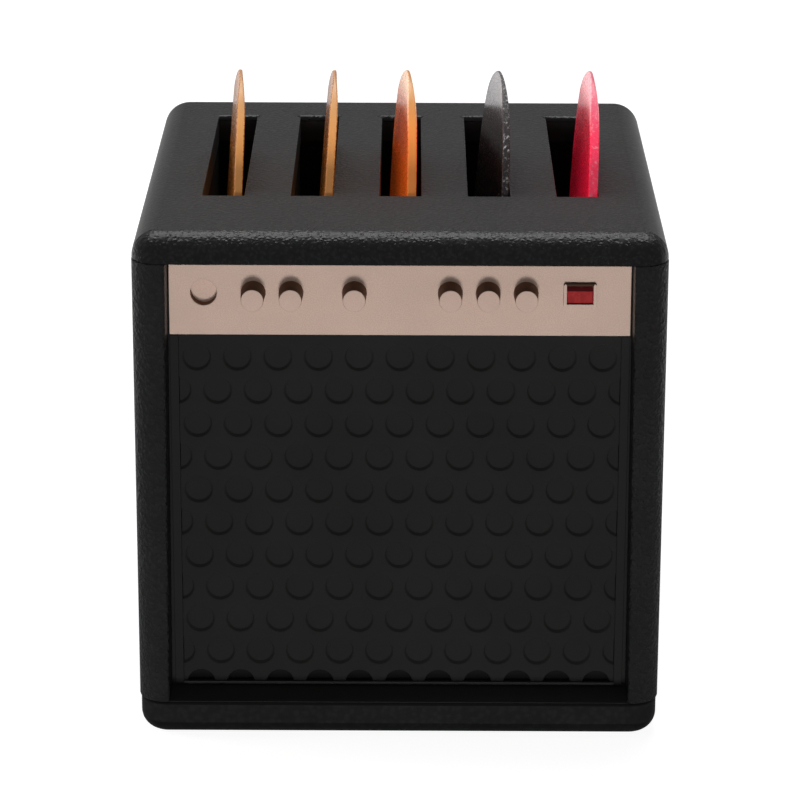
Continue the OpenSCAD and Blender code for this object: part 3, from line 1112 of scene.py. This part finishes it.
    def inside(self) -> None:
        """Builds the ribs, ledges and screw posts inside the walls."""
        front, back = self.rib_front, self.inner_back
        ribs, ledges, posts, holes = Blank(), Blank(), Blank(), Blank()
        under = self.shelf_under - self.ledge_high
        for side in (-1, 1):
            ends = on_side(side, self.high.x - self.stile, self.inner_x)
            ribs.block((ends[0], front, self.base_top),
                       (ends[1], front + self.rib, self.parting - self.rib_gap))
            ends = on_side(side, self.inner_x - self.ledge_wide, self.inner_x)
            ledges.block((ends[0], front + self.rib, under), (ends[1], back, self.shelf_under))
        ledges.block((-self.inner_x + self.ledge_wide, back - self.ledge_wide, under),
                     (self.inner_x - self.ledge_wide, back, self.shelf_under))
        for place in self.posts:
            posts.rod(place, Axis.Z, self.base_top, self.base_top + self.post_high,
                      self.post_wide / 2)
            holes.rod(place, Axis.Z, self.base_top - PAST, self.base_top + self.pilot_deep,
                      self.pilot_wide / 2, 24)
        posts.carve(holes)
        for name, blank in (("ribs", ribs), ("ledges", ledges), ("posts", posts)):
            blank.publish("wall_" + name, CASE_BODY, ["body_shell"], "case_black",
                          self.finishes.inner)

    def base(self) -> None:
        """Builds the base plate with its lips and screw seats."""
        low, high = self.base_low, self.base_high.copy()
        high.z = self.base_top
        blank = Blank().block(low, high)
        blank.soften(runs_along(Axis.Z), self.corner_round, self.corner_steps)
        blank.soften(lies_at(Axis.Z, low.z), self.base_round, self.corner_steps)
        blank.soften(lies_at(Axis.Z, high.z), self.base_edge, 3)
        lip_x, lip_back = self.inner_x - PLAY, self.inner_back - PLAY
        room = Blank().block((-lip_x + self.lip, self.rib_front + self.rib, self.base_floor),
                             (lip_x - self.lip, lip_back - self.lip, high.z + PAST))
        bosses, holes = Blank(), Blank()
        for place in self.posts:
            radius, seat = self.screw_hole / 2, self.head_hole / 2
            seat_top = low.z + self.head_deep
            under, over = low.z - PAST, high.z + 2 * PAST
            bosses.rod(place, Axis.Z, self.base_floor - PAST, over, self.post_wide / 2)
            holes.turned([(0, under), (seat, under), (seat, seat_top), (radius, seat_top),
                          (radius, over), (0, over)], place, Axis.Z)
        room.carve(bosses)
        blank.carve(room).carve(holes)
        blank.bm.normal_update()
        shaded_top_edge, ledge, foot = range(1, 4)
        for surface in blank.bm.faces:
            at_top = surface.calc_center_median().z > self.base_top - self.base_edge
            rise = surface.normal.z
            # Painted shade: the base's top rounding takes the darker copy.
            if at_top and rise > 0.1:
                # Painted light: the flat top, the ledge, takes the lighter copy.
                surface.material_index = ledge if rise > 0.95 else shaded_top_edge
            elif rise < -0.25:
                # Painted shade on the downward faces.
                surface.material_index = foot
        blank.publish("base", CASE_BODY, ["base_plate"], "case_black", self.finishes.base,
                      self.finishes.edge, self.finishes.ledge, self.finishes.base_foot_shade)
        lips = Blank()
        rise = (high.z, self.base_high.z)
        clear = self.post_wide / 2 + PLAY
        front, rear = self.posts[0][1] + clear, self.posts[1][1] - clear
        for side in (-1, 1):
            ends = on_side(side, lip_x - self.lip, lip_x)
            lips.block((ends[0], front, rise[0]), (ends[1], rear, rise[1]))
        reach = abs(self.posts[0][0]) - clear
        lips.block((-reach, lip_back - self.lip, rise[0]), (reach, lip_back, rise[1]))
        lips.publish("base_lips", CASE_BODY, ["base_plate"], "case_black",
                     self.finishes.inner)


@dataclass
class Fittings:
    """Places and holes of what the control strip carries."""

    peg_wide: float = 1.4
    fit: float = 0.05
    tight: float = 0.005
    bezel_drop: float = 0.3

    def __post_init__(self) -> None:
        """Names the knobs."""
        self.knobs = [f"knob_{index}" for index in range(1, 7)]

    @staticmethod
    def middle(name: str) -> Point2:
        """Centre of a fitting, seen from the front.

        Args:
            name: The fitting's solid.

        Returns:
            Its place along the strip and its height.
        """
        low, high = node_box(name)
        return (low.x + high.x) / 2, (low.z + high.z) / 2

    def bezel_box(self) -> tuple[Vector, Vector]:
        """Returns the switch frame's box, with its top at the level that shows."""
        low, high = node_box("switch_bezel")
        return low, high - Vector((0, 0, self.bezel_drop))

    def holes(self, start: float, end: float) -> Blank:
        """Makes the solids that the fittings' holes take out of a plate.

        Args:
            start: Where the holes start, front to back.
            end: Where they end.

        Returns:
            The solids.
        """
        holes = Blank()
        for name in self.knobs:
            holes.rod(self.middle(name), Axis.Y, start, end, self.peg_wide / 2 + self.fit, 24)
        low, high = node_box("jack_socket")
        holes.rod(self.middle("jack_socket"), Axis.Y, start, end,
                  (high.x - low.x) / 2 + self.tight)
        low, high = node_box("switch_lens")
        holes.block((low.x - self.fit, start, low.z - self.fit),
                    (high.x + self.fit, end, high.z + self.fit))
        return holes


@dataclass
class Grille:
    """Recessed front panel with staggered dimples and its rim."""

    finishes: Finishes
    fittings: Fittings
    pitch: float = 4.6
    dimple_wide: float = 3.3
    dimple_deep: float = 0.62
    dimple_foot: float = 2.94
    dimple_round: float = 0.06
    shadow_gap: float = 0.28
    gap_deep: float = 0.35
    groove: float = 0.22
    first_row: float = 2.95
    rim_wide: float = 1.0
    rim_high: float = 0.4
    rim_round: float = 0.12
    lip_round: float = 0.07
    field_foot: float = 0.6
    overlap: float = 0.05
    cell_weld: float = 0.005

    def __post_init__(self) -> None:
        """Reads the levels that the frame's solids set."""
        self.low, self.high = node_box("grille_panel")
        self.face = self.low.y + self.rim_high
        self.strip_low, self.strip_high = node_box("control_panel")
        self.rim_half = self.strip_high.x + self.overlap
        self.field_half = self.rim_half - self.rim_wide
        self.field_low = self.low.z + self.field_foot
        self.field_top = self.strip_low.z - self.groove - self.overlap

    def build(self) -> None:
        """Builds the dimpled field, the panel round it and the rim."""
        self.dimpled_field()
        self.panel()
        self.rim()

    def cell(self) -> bmesh.types.BMesh:
        """Makes one six-sided cell of the field with its dimple.

        Returns:
            The cell, round the origin, facing -Y.
        """
        cell = bmesh.new()
        outline = bmesh.ops.create_circle(cell, cap_ends=False, segments=6,
                                          radius=self.pitch / math.sqrt(3))
        sides = list(dict.fromkeys(edge for vert in outline["verts"]
                                   for edge in vert.link_edges))
        bmesh.ops.subdivide_edges(cell, edges=sides, cuts=3)
        ring = bmesh.ops.create_circle(cell, cap_ends=False, segments=24,
                                       radius=self.dimple_wide / 2)
        rim = list(dict.fromkeys(edge for vert in ring["verts"] for edge in vert.link_edges))
        bmesh.ops.bridge_loops(cell, edges=cell.edges[:])
        wall = bmesh.ops.extrude_edge_only(cell, edges=rim)["geom"]
        foot = [item for item in wall if isinstance(item, bmesh.types.BMVert)]
        narrow = self.dimple_foot / self.dimple_wide
        bmesh.ops.scale(cell, vec=(narrow, narrow, 1), verts=foot)
        bmesh.ops.translate(cell, vec=(0, 0, -self.dimple_deep), verts=foot)
        bottom = [item for item in wall if isinstance(item, bmesh.types.BMEdge)
                  and all(vert in foot for vert in item.verts)]
        bmesh.ops.contextual_create(cell, geom=bottom)
        bmesh.ops.recalc_face_normals(cell, faces=cell.faces)
        bmesh.ops.bevel(cell, geom=rim + bottom, offset=self.dimple_round,
                        offset_type="OFFSET", segments=2, profile=0.5, affect="EDGES",
                        clamp_overlap=True, material=-1)
        bmesh.ops.rotate(cell, cent=(0, 0, 0), verts=cell.verts, matrix=UPRIGHT)
        return cell

    def plain_cell(self) -> bmesh.types.BMesh:
        """Makes a six-sided cell without a dimple, for the strip above the first row.

        Returns:
            The cell, round the origin, facing -Y.
        """
        cell = bmesh.new()
        outline = bmesh.ops.create_circle(cell, cap_ends=True, segments=6,
                                          radius=self.pitch / math.sqrt(3))
        sides = list(dict.fromkeys(edge for vert in outline["verts"]
                                   for edge in vert.link_edges))
        bmesh.ops.subdivide_edges(cell, edges=sides, cuts=3)
        bmesh.ops.rotate(cell, cent=(0, 0, 0), verts=cell.verts, matrix=UPRIGHT)
        return cell

    def dimpled_field(self) -> None:
        """Builds the dimpled field from copies of one cell, trimmed to its frame."""
        blank = Blank()
        rise = self.pitch * math.sin(math.radians(60))
        top = self.strip_low.z - self.first_row
        rows = math.ceil((top - self.field_low) / rise) + 1
        reach = math.ceil(self.field_half / self.pitch) + 1
        for make, span in ((self.plain_cell, range(-1, 0)), (self.cell, range(rows))):
            laid = Blank()
            laid.take_in(make())
            cell = laid.bm.verts[:] + laid.bm.edges[:] + laid.bm.faces[:]
            first = laid.bm.verts[:]
            for row in span:
                for column in range(-reach, reach + 1):
                    copy = bmesh.ops.duplicate(laid.bm, geom=cell)["geom"]
                    verts = [item for item in copy if isinstance(item, bmesh.types.BMVert)]
                    place = ((column + (row % 2) / 2) * self.pitch, self.face,
                             top - row * rise)
                    bmesh.ops.translate(laid.bm, vec=place, verts=verts)
            bmesh.ops.delete(laid.bm, geom=first, context="VERTS")
            blank.take_in(laid.bm)
        bmesh.ops.remove_doubles(blank.bm, verts=blank.bm.verts, dist=self.cell_weld)
        for level, normal in ((-self.field_half, (-1, 0, 0)), (self.field_half, (1, 0, 0)),
                              (self.field_low, (0, 0, -1)), (self.field_top, (0, 0, 1))):
            side = Vector(normal)
            bmesh.ops.bisect_plane(blank.bm, geom=blank.bm.verts[:] + blank.bm.edges[:]
                                   + blank.bm.faces[:], dist=WELD,
                                   plane_co=Vector([abs(part) for part in side]) * level,
                                   plane_no=side, clear_outer=True)
        face, shaded, lit_dimple_wall = range(3)
        for surface in blank.bm.faces:
            place = surface.calc_center_median()
            foot = place.z < self.field_low + rise / 2
            sunk = place.y > self.face + self.dimple_deep / 2
            wall = not near(place.y, self.face) and abs(surface.normal.y) < 0.9
            # Dimple walls take the copy painted lighter, as painted light.
            surface.material_index = lit_dimple_wall if wall and not foot else face
            # Sunk faces at the foot take the copy with painted shade.
            if foot and sunk:
                surface.material_index = shaded
        border = [edge for edge in blank.bm.edges if edge.is_boundary]
        grown = bmesh.ops.extrude_edge_only(blank.bm, edges=border)["geom"]
        for item in grown:
            if isinstance(item, bmesh.types.BMVert):
                item.co.y = self.high.y
        bmesh.ops.holes_fill(blank.bm, edges=[edge for edge in blank.bm.edges
                                              if edge.is_boundary])
        bmesh.ops.recalc_face_normals(blank.bm, faces=blank.bm.faces)
        blank.publish("grille_field", CASE_BODY, ["grille_panel"], "grille_black",
                      self.finishes.grille, self.finishes.shade, self.finishes.lit_dimple_wall)

    def panel(self) -> None:
        """Builds the plain panel round the field, with its holes for the fittings."""
        foot = self.low.z + self.shadow_gap
        blank = Blank().block((self.low.x, self.face, foot), self.high)
        blank.pierce(Axis.Y, (-self.field_half, self.field_low),
                     (self.field_half, self.field_top))
        blank.carve(self.fittings.holes(self.face - PAST, self.high.y + PAST))
        edge = self.strip_low.z
        blank.carve(Blank().block((-self.rim_half, self.face - PAST, edge - self.groove),
                                  (self.rim_half, self.face + self.gap_deep * 2, edge + PLAY)))
        blank.block((self.low.x, self.face + self.gap_deep, self.low.z),
                    (self.high.x, self.high.y, foot + self.overlap))
        blank.publish("grille_surround", CASE_BODY, ["grille_panel"], "grille_black",
                      self.finishes.grille)

    def rim(self) -> None:
        """Builds the raised rim at the sides and the thin lip at the foot of the field."""
        out, inner = self.rim_half, self.field_half
        back, foot = self.face + self.dimple_deep, self.low.z + self.shadow_gap
        blank = Blank()
        for side in (-1, 1):
            ends = on_side(side, inner, out)
            blank.block((ends[0], self.low.y, foot), (ends[1], back, self.field_top))
        blank.soften(lies_at(Axis.Y, self.low.y), self.rim_round, 3)
        blank.publish("grille_rim", CASE_BODY, ["grille_panel"], "grille_black",
                      self.finishes.grille)
        # The lip takes the copy with the painted highlight.
        lip = Blank().block((-inner - self.overlap, self.low.y, foot),
                            (inner + self.overlap, back, self.field_low))
        lip.soften(lies_at(Axis.Y, self.low.y), self.lip_round, 3)
        lip.publish("grille_foot_lip", CASE_BODY, ["grille_panel"], "grille_black",
                    self.finishes.lip)


@dataclass
class ControlStrip:
    """Champagne strip with its jack, knobs and power switch."""

    finishes: Finishes
    fittings: Fittings
    edge_round: float = 0.12
    bore: float = 2.98
    bore_deep: float = 1.4
    bore_round: float = 0.05
    turning_steps: int = 64
    knob_foot: float = 2.8
    knob_face: float = 2.54
    knob_round: float = 0.12
    bezel_corner: float = 0.35
    bezel_brow: float = 0.34
    bezel_side: float = 0.24
    bezel_round: float = 0.05
    lens_dome: float = 0.12
    lens_gap: float = 0.1
    lens_fold: float = 0.5
    lens_tilt: float = 0.3

    def __post_init__(self) -> None:
        """Reads the places that the frame's solids set."""
        self.low, self.high = node_box("control_panel")

    def build(self) -> None:
        """Builds the strip and all its fittings."""
        self.strip()
        self.jack()
        for name in self.fittings.knobs:
            self.knob(name)
        self.switch()

    def strip(self) -> None:
        """Builds the strip with a hole for every fitting."""
        blank = Blank().block(self.low, self.high)
        blank.soften(lambda edge: all(near(vert.co.y, self.low.y) for vert in edge.verts),
                     self.edge_round, 3)
        blank.carve(self.fittings.holes(self.low.y - PAST, self.high.y + PAST))
        blank.publish("control_strip", CASE_BODY, ["control_panel"], "strip_champagne",
                      self.finishes.strip)

    def jack(self) -> None:
        """Builds the jack socket as a turned cup."""
        low, high = node_box("jack_socket")
        outer, bore, floor = (high.x - low.x) / 2, self.bore / 2, low.y + self.bore_deep
        profile = [(0, floor), (bore, floor), (bore, low.y + self.bore_round),
                   (bore + self.bore_round, low.y), (outer, low.y), (outer, high.y),
                   (0, high.y)]
        blank = Blank().turned(profile, self.fittings.middle("jack_socket"), Axis.Y,
                               self.turning_steps)
        self.shade_sides(blank)
        blank.publish("jack_cup", CASE_BODY, ["jack_socket"], "strip_champagne",
                      self.finishes.knob, self.finishes.shaded_recess)

    @staticmethod
    def shade_sides(blank: Blank) -> None:
        """Marks the faces that don't look to the front for the darker copy, which is painted
        shade.

        Args:
            blank: The turned solid.
        """
        blank.bm.normal_update()
        for surface in blank.bm.faces:
            surface.material_index = int(abs(surface.normal.y) < 0.3)

    def knob(self, name: str) -> None:
        """Builds one tapered knob with its peg.

        Args:
            name: The knob's solid.
        """
        low, high = node_box(name)
        foot, face, peg = self.knob_foot / 2, self.knob_face / 2, self.fittings.peg_wide / 2
        turn = self.knob_round
        profile = [(0, low.y), (face - turn, low.y)]
        for step in range(1, 4):
            angle = math.radians(30 * step)
            profile.append((face - turn + turn * math.sin(angle),
                            low.y + turn - turn * math.cos(angle)))
        profile += [(foot, self.low.y), (peg, self.low.y), (peg, high.y), (0, high.y)]
        blank = Blank().turned(profile, self.fittings.middle(name), Axis.Y,
                               self.turning_steps)
        self.shade_sides(blank)
        blank.publish(name + "_turned", CASE_BODY, [name], "knob_champagne",
                      self.finishes.knob, self.finishes.shaded_recess)

    def switch(self) -> None:
        """Builds the power switch: a frame and its lens."""
        low, high = self.fittings.bezel_box()
        lens_low, lens_high = node_box("switch_lens")
        blank = Blank().block(low, high)
        blank.soften(runs_along(Axis.Y), self.bezel_corner, 4)
        fit = self.fittings.fit
        blank.pierce(Axis.Y, (lens_low.x - fit, lens_low.z - fit),
                     (lens_high.x + fit, lens_high.z + fit))
        blank.soften(lambda edge: lies_at(Axis.Y, low.y)(edge)
                     and lies_at(Axis.Z, high.z)(edge), self.bezel_brow, 4)
        for end in (low.x, high.x):
            side = lies_at(Axis.X, end)
            blank.soften(lambda edge: lies_at(Axis.Y, low.y)(edge) and side(edge),
                         self.bezel_side, 3)
        blank.soften(lies_at(Axis.Y, low.y), self.bezel_round, 2)
        blank.bm.normal_update()
        # Faces turned up or to the side take the darker copy, as painted shade.
        for surface in blank.bm.faces:
            turned = surface.normal.z > 0.15 or abs(surface.normal.x) > 0.3
            surface.material_index = int(turned)
        blank.publish("switch_frame", CASE_BODY, ["switch_bezel"], "strip_champagne",
                      self.finishes.knob, self.finishes.shaded_brow)
        top = lens_high.z - self.lens_gap
        fold = top - self.lens_fold
        outline = [(lens_low.y, lens_low.z), (lens_low.y, fold),
                   (lens_low.y + self.lens_tilt, top), (lens_high.y, top),
                   (lens_high.y, lens_low.z)]
        lens = Blank().prism(outline, Axis.X, lens_low.x, lens_high.x)
        lens.soften(lies_at(Axis.Y, lens_low.y), self.lens_dome, 3)
        lens.bm.normal_update()
        # Faces that look up take the darker red, as painted shade.
        for surface in lens.bm.faces:
            surface.material_index = int(surface.normal.z > 0.3)
        lens.publish("switch_window", CASE_BODY, ["switch_lens"], "lens_red",
                     self.finishes.lens, self.finishes.shaded_lens)


@dataclass
class Pick:
    """One guitar pick standing in its slot."""

    number: int
    kind: PickKind
    turn: float
    lean: float
    face: bpy.types.Material
    rim: bpy.types.Material
    thick: float
    shift: float
    thin_from: float = 0.8
    thin_by: float = 0.6
    wide: float = 26.0
    up: float = 19.6
    down: float = 11.4
    up_power: float = 2.09
    down_power: float = 2.5
    sides: int = 96
    edge_round: float = 0.26
    face_slope: float = 0.6

    def build(self) -> None:
        """Builds the pick: a bowed outline, pushed out, with rounded edges."""
        blank = Blank()
        ring = bmesh.ops.create_circle(blank.bm, cap_ends=True, radius=1.0,
                                       segments=self.sides)["verts"]
        for vert in ring:
            upper = vert.co.y > 0
            power = 2 / (self.up_power if upper else self.down_power)
            reach = self.up if upper else self.down
            across = math.copysign(abs(vert.co.x) ** power, vert.co.x) * self.wide / 2
            rise = math.copysign(abs(vert.co.y) ** power, vert.co.y) * reach
            vert.co = (-self.thick / 2, across, rise)
        grown = bmesh.ops.extrude_face_region(blank.bm, geom=blank.bm.faces[:])["geom"]
        moved = [item for item in grown if isinstance(item, bmesh.types.BMVert)]
        bmesh.ops.translate(blank.bm, vec=(self.thick, 0, 0), verts=moved)
        for vert in blank.bm.verts:
            rise = max(0.0, vert.co.z / self.up - self.thin_from) / (1 - self.thin_from)
            vert.co.x *= 1 - self.thin_by * rise ** 2
        bmesh.ops.recalc_face_normals(blank.bm, faces=blank.bm.faces)
        blank.soften(lambda edge: edge.verts[0].co.x * edge.verts[1].co.x > 0,
                     self.edge_round, 3)
        blank.bm.normal_update()
        for surface in blank.bm.faces:
            surface.material_index = int(abs(surface.normal.x) <= self.face_slope)
        pose = (Matrix.Rotation(math.radians(self.turn), 3, "Z")
                @ Matrix.Rotation(math.radians(self.lean), 3, "Y"))
        bmesh.ops.rotate(blank.bm, cent=(0, 0, 0), matrix=pose, verts=blank.bm.verts)
        node = f"pick_{self.number}"
        low, high = node_box(node)
        own_low = Vector([min(vert.co[i] for vert in blank.bm.verts) for i in range(3)])
        own_high = Vector([max(vert.co[i] for vert in blank.bm.verts) for i in range(3)])
        bmesh.ops.translate(blank.bm, vec=(low + high - own_low - own_high) / 2
                            + Vector((self.shift, 0, 0)), verts=blank.bm.verts)
        blank.publish(f"pick_{self.number}_{self.kind.name.lower()}",
                      f"pick_body_{self.number}", [node], self.kind.value,
                      self.face, self.rim)


@dataclass
class PickSet:
    """The five picks, with the plastics that they are made of."""

    turns: tuple[float, ...] = (3.7, 1.6, 4.2, 5.2, 1.7)
    leans: tuple[float, ...] = (3.6, 4.2, 2.5, 3.6, 2.6)
    thicks: tuple[float, ...] = (0.98, 1.0, 1.1, 0.86, 1.1)
    shifts: tuple[float, ...] = (0.17, 0.1, 0.15, 0.18, 0.14)
    kinds: tuple[PickKind, ...] = (PickKind.AMBER, PickKind.AMBER, PickKind.ORANGE,
                                    PickKind.SMOKE, PickKind.PINK)

    def plastics(self) -> dict[PickKind, tuple[bpy.types.Material, bpy.types.Material]]:
        """Makes the face and rim finishes of each kind of pick.

        Returns:
            The two materials for each kind.
        """
        # The glow settings give the faces and rims a painted glow.
        edge = {"glow_front": node_box("pick_3")[0].y, "glow_fade": 24.0}
        flat = {**edge, "glow_back": 0.15}
        # The second colour of each plastic is its top, painted lighter or paler as painted light.
        faces = {
            PickKind.AMBER: PickPlastic("amber_face", (0.6, 0.25, 0.05), (0.9, 0.5, 0.25),
                                        transmission=0.75, roughness=0.25, glow=0.1, **flat),
            PickKind.ORANGE: PickPlastic("orange_face", (0.9, 0.2, 0.02), (1.0, 0.75, 0.54),
                                         transmission=0.4, roughness=0.28, glow=0.2,
                                         crown_glow=0.6, **flat),
            PickKind.SMOKE: PickPlastic("smoke_face", (0.1, 0.06, 0.055), (0.5, 0.45, 0.47),
                                        transmission=0.85, roughness=0.18),
            PickKind.PINK: PickPlastic("pink_face", (0.95, 0.018, 0.08), (1.0, 0.5, 0.53),
                                       transmission=0.35, roughness=0.28, glow=0.22,
                                       crown_glow=0.9, **flat)}
        rims = {
            PickKind.AMBER: PickPlastic("amber_rim", (0.79, 0.35, 0.11), (0.86, 0.45, 0.18),
                                        transmission=0.1, roughness=0.35, glow=0.12, **edge),
            PickKind.ORANGE: PickPlastic("orange_rim", (0.85, 0.29, 0.065), (0.76, 0.35, 0.1),
                                         transmission=0.1, roughness=0.35, glow=0.22, **edge),
            PickKind.SMOKE: PickPlastic("smoke_rim", (0.038, 0.031, 0.032),
                                        (0.038, 0.031, 0.032), transmission=0.2,
                                        roughness=0.25, relief=0.16, sparkle=0.9),
            PickKind.PINK: PickPlastic("pink_rim", (0.9, 0.05, 0.12), (0.85, 0.16, 0.24),
                                       transmission=0.1, roughness=0.32, relief=0.05,
                                       sparkle=0.3, glow=0.3, **edge)}
        return {kind: (faces[kind].make(), rims[kind].make()) for kind in PickKind}

    def build(self) -> None:
        """Builds the picks."""
        plastics = self.plastics()
        rows = zip(self.kinds, self.turns, self.leans, self.thicks, self.shifts)
        for index, (kind, turn, lean, thick, shift) in enumerate(rows):
            Pick(index + 1, kind, turn, lean, *plastics[kind], thick, shift).build()


@dataclass
class KeptSolids:
    """Solids of the frame whose own shape is right."""

    finishes: Finishes

    def dress(self) -> None:
        """Gives each kept solid its finish."""
        looks = {"pocket_insert": self.finishes.foam, "shelf_plate": self.finishes.inner,
                 "base_screws": self.finishes.steel}
        for name, finish in looks.items():
            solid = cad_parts[name]
            solid.data.materials.clear()
            solid.data.materials.append(finish)
            log.info("kept solid %s: %s", name, finish.name)


@dataclass(frozen=True)
class Lamp:
    """A soft rectangular lamp, with its places and size in metres."""

    name: str
    place: Point3
    aim: Point3
    size: Point2
    watts: float

    def hang(self) -> bpy.types.Object:
        """Hangs the lamp.

        Returns:
            The lamp's object.
        """
        data = bpy.data.lights.new(self.name, "AREA")
        data.shape = "RECTANGLE"
        data.size, data.size_y = self.size
        data.energy = self.watts
        lamp = bpy.data.objects.new(self.name, data)
        bpy.context.scene.collection.objects.link(lamp)
        lamp.location = self.place
        direction = Vector(self.aim) - Vector(self.place)
        lamp.rotation_euler = direction.to_track_quat("-Z", "Y").to_euler()
        return lamp


@dataclass
class Studio:
    """Pale floor, soft lamps, world and camera."""

    camera_place: Vector = field(default_factory=lambda: Vector((0.942, -415.87, 168.99)))
    camera_aim: Vector = field(default_factory=lambda: Vector((-0.0022, 0.9486, -0.3165)))
    camera_roll: float = 0.19
    lens: float = 162.2
    floor_half: float = 6.0
    floor_colour: Colour = (0.35, 0.35, 0.35)
    floor_glow: float = 0.93
    floor_mirrored: float = 0.12
    rear_mirrored: float = 0.6
    rear_span: Point2 = (0.02, 0.08)
    ambient: float = 0.035
    mirrored: float = 0.32
    key: Lamp = Lamp("key_softbox", (0.0, 0.34, 0.6), (0.0, 0.34, 0.0), (0.7, 0.36), 3.6)
    soft: tuple[Lamp, ...] = (
        Lamp("top_softbox", (0.0, 0.25, 0.85), (0.0, 0.0, 0.05), (0.4, 0.4), 3.2),
        Lamp("side_softbox", (-0.8, 0.06, 0.3), (0.0, 0.0, 0.06), (0.3, 0.3), 3.0),
        Lamp("front_softbox", (0.0, -0.75, 0.08), (0.0, 0.0, 0.05), (0.16, 0.04), 1.0))
    bounce: Lamp = Lamp("table_bounce", (0.0, -0.81, -0.126), (0.0, -0.03, 0.04),
                        (0.1, 0.13), 5.0)

    def build(self) -> None:
        """Sets the whole stage."""
        floor = self.floor()
        self.world()
        self.key.hang().visible_diffuse = False
        soft = [lamp.hang() for lamp in (*self.soft, self.bounce)]
        self.shine_through(soft[-1], floor)
        for lamp in soft:
            lamp.visible_glossy = False
            lamp.visible_camera = False
        self.camera()
        bpy.context.scene.view_settings.view_transform = "Standard"

    @staticmethod
    def shine_through(lamp: bpy.types.Object, floor: bpy.types.Object) -> None:
        """Lets a lamp's light come up through the floor, as a bright table's does.

        Args:
            lamp: The lamp.
            floor: The floor, which then casts no shadow from that lamp.
        """
        passing = bpy.data.collections.new("let_through")
        passing.objects.link(floor)
        lamp.light_linking.blocker_collection = passing
        passing.collection_objects[0].light_linking.link_state = "EXCLUDE"

    def floor(self) -> bpy.types.Object:
        """Builds the pale floor, which the camera sees as white but for the shadow.

        Returns:
            The floor.
        """
        bm = bmesh.new()
        bmesh.ops.create_grid(bm, x_segments=1, y_segments=1, size=self.floor_half)
        mesh = bpy.data.meshes.new("floor")
        bm.to_mesh(mesh)
        bm.free()
        floor = bpy.data.objects.new("floor", mesh)
        bpy.context.scene.collection.objects.link(floor)
        material = bpy.data.materials.new("pale_floor")
        material.use_nodes = True
        graph = Graph(material.node_tree)
        shader = material.node_tree.nodes["Principled BSDF"]
        shader.inputs["Base Color"].default_value = (*self.floor_colour, 1.0)
        shader.inputs["Roughness"].default_value = 0.9
        shader.inputs["Specular IOR Level"].default_value = 0.1
        path = graph.add("LightPath")
        seen = graph.math("MAXIMUM", path.outputs["Is Camera Ray"],
                          path.outputs["Is Transmission Ray"])
        depth = graph.add("SeparateXYZ", {0: graph.add("TexCoord").outputs["Object"]})
        gloss = graph.math("MULTIPLY", path.outputs["Is Glossy Ray"],
                           graph.ramp(depth.outputs["Y"], *self.rear_span,
                                      self.floor_mirrored, self.rear_mirrored))
        strength = graph.math("MAXIMUM", graph.math("MULTIPLY", seen, self.floor_glow), gloss)
        glow = graph.add("Emission", {"Color": (1, 1, 1, 1), "Strength": strength})
        total = graph.add("AddShader", {0: shader.outputs[0], 1: glow.outputs[0]})
        exit_node = material.node_tree.nodes["Material Output"]
        material.node_tree.links.new(total.outputs[0], exit_node.inputs["Surface"])
        mesh.materials.append(material)
        return floor

    def world(self) -> None:
        """Sets a soft white world, full white where it is seen or mirrored."""
        world = bpy.data.worlds.new("studio")
        bpy.context.scene.world = world
        world.use_nodes = True
        graph = Graph(world.node_tree)
        path = graph.add("LightPath")
        seen = graph.math("MAXIMUM", path.outputs["Is Camera Ray"],
                          path.outputs["Is Transmission Ray"])
        gloss = graph.math("MULTIPLY", path.outputs["Is Glossy Ray"], self.mirrored)
        strength = graph.math("MAXIMUM", graph.math("MAXIMUM", seen, gloss), self.ambient)
        background = world.node_tree.nodes["Background"]
        background.inputs["Color"].default_value = (1, 1, 1, 1)
        world.node_tree.links.new(strength, background.inputs["Strength"])

    def camera(self) -> None:
        """Places the camera."""
        data = bpy.data.cameras.new("camera")
        data.lens = self.lens
        data.sensor_width = 36.0
        data.clip_start, data.clip_end = 0.01, 50.0
        camera = bpy.data.objects.new("camera", data)
        bpy.context.scene.collection.objects.link(camera)
        aim = self.camera_aim.normalized()
        right = aim.cross(Vector((0, 0, 1))).normalized()
        up = right.cross(aim)
        roll = math.radians(self.camera_roll)
        rolled = right * math.cos(roll) + up * math.sin(roll)
        up = rolled.cross(aim)
        turn = Matrix((rolled, up, -aim)).transposed().to_4x4()
        camera.matrix_world = Matrix.Translation(self.camera_place * MM) @ turn
        bpy.context.scene.camera = camera


def main() -> None:
    """Builds the pick holder and its stage."""
    logging.basicConfig(level=logging.INFO, format="%(name)s: %(message)s")
    Studio().build()
    finishes = Finishes()
    Case(finishes).build()
    fittings = Fittings()
    Grille(finishes, fittings).build()
    ControlStrip(finishes, fittings).build()
    PickSet().build()
    KeptSolids(finishes).dress()


if __name__ == "__main__":
    main()
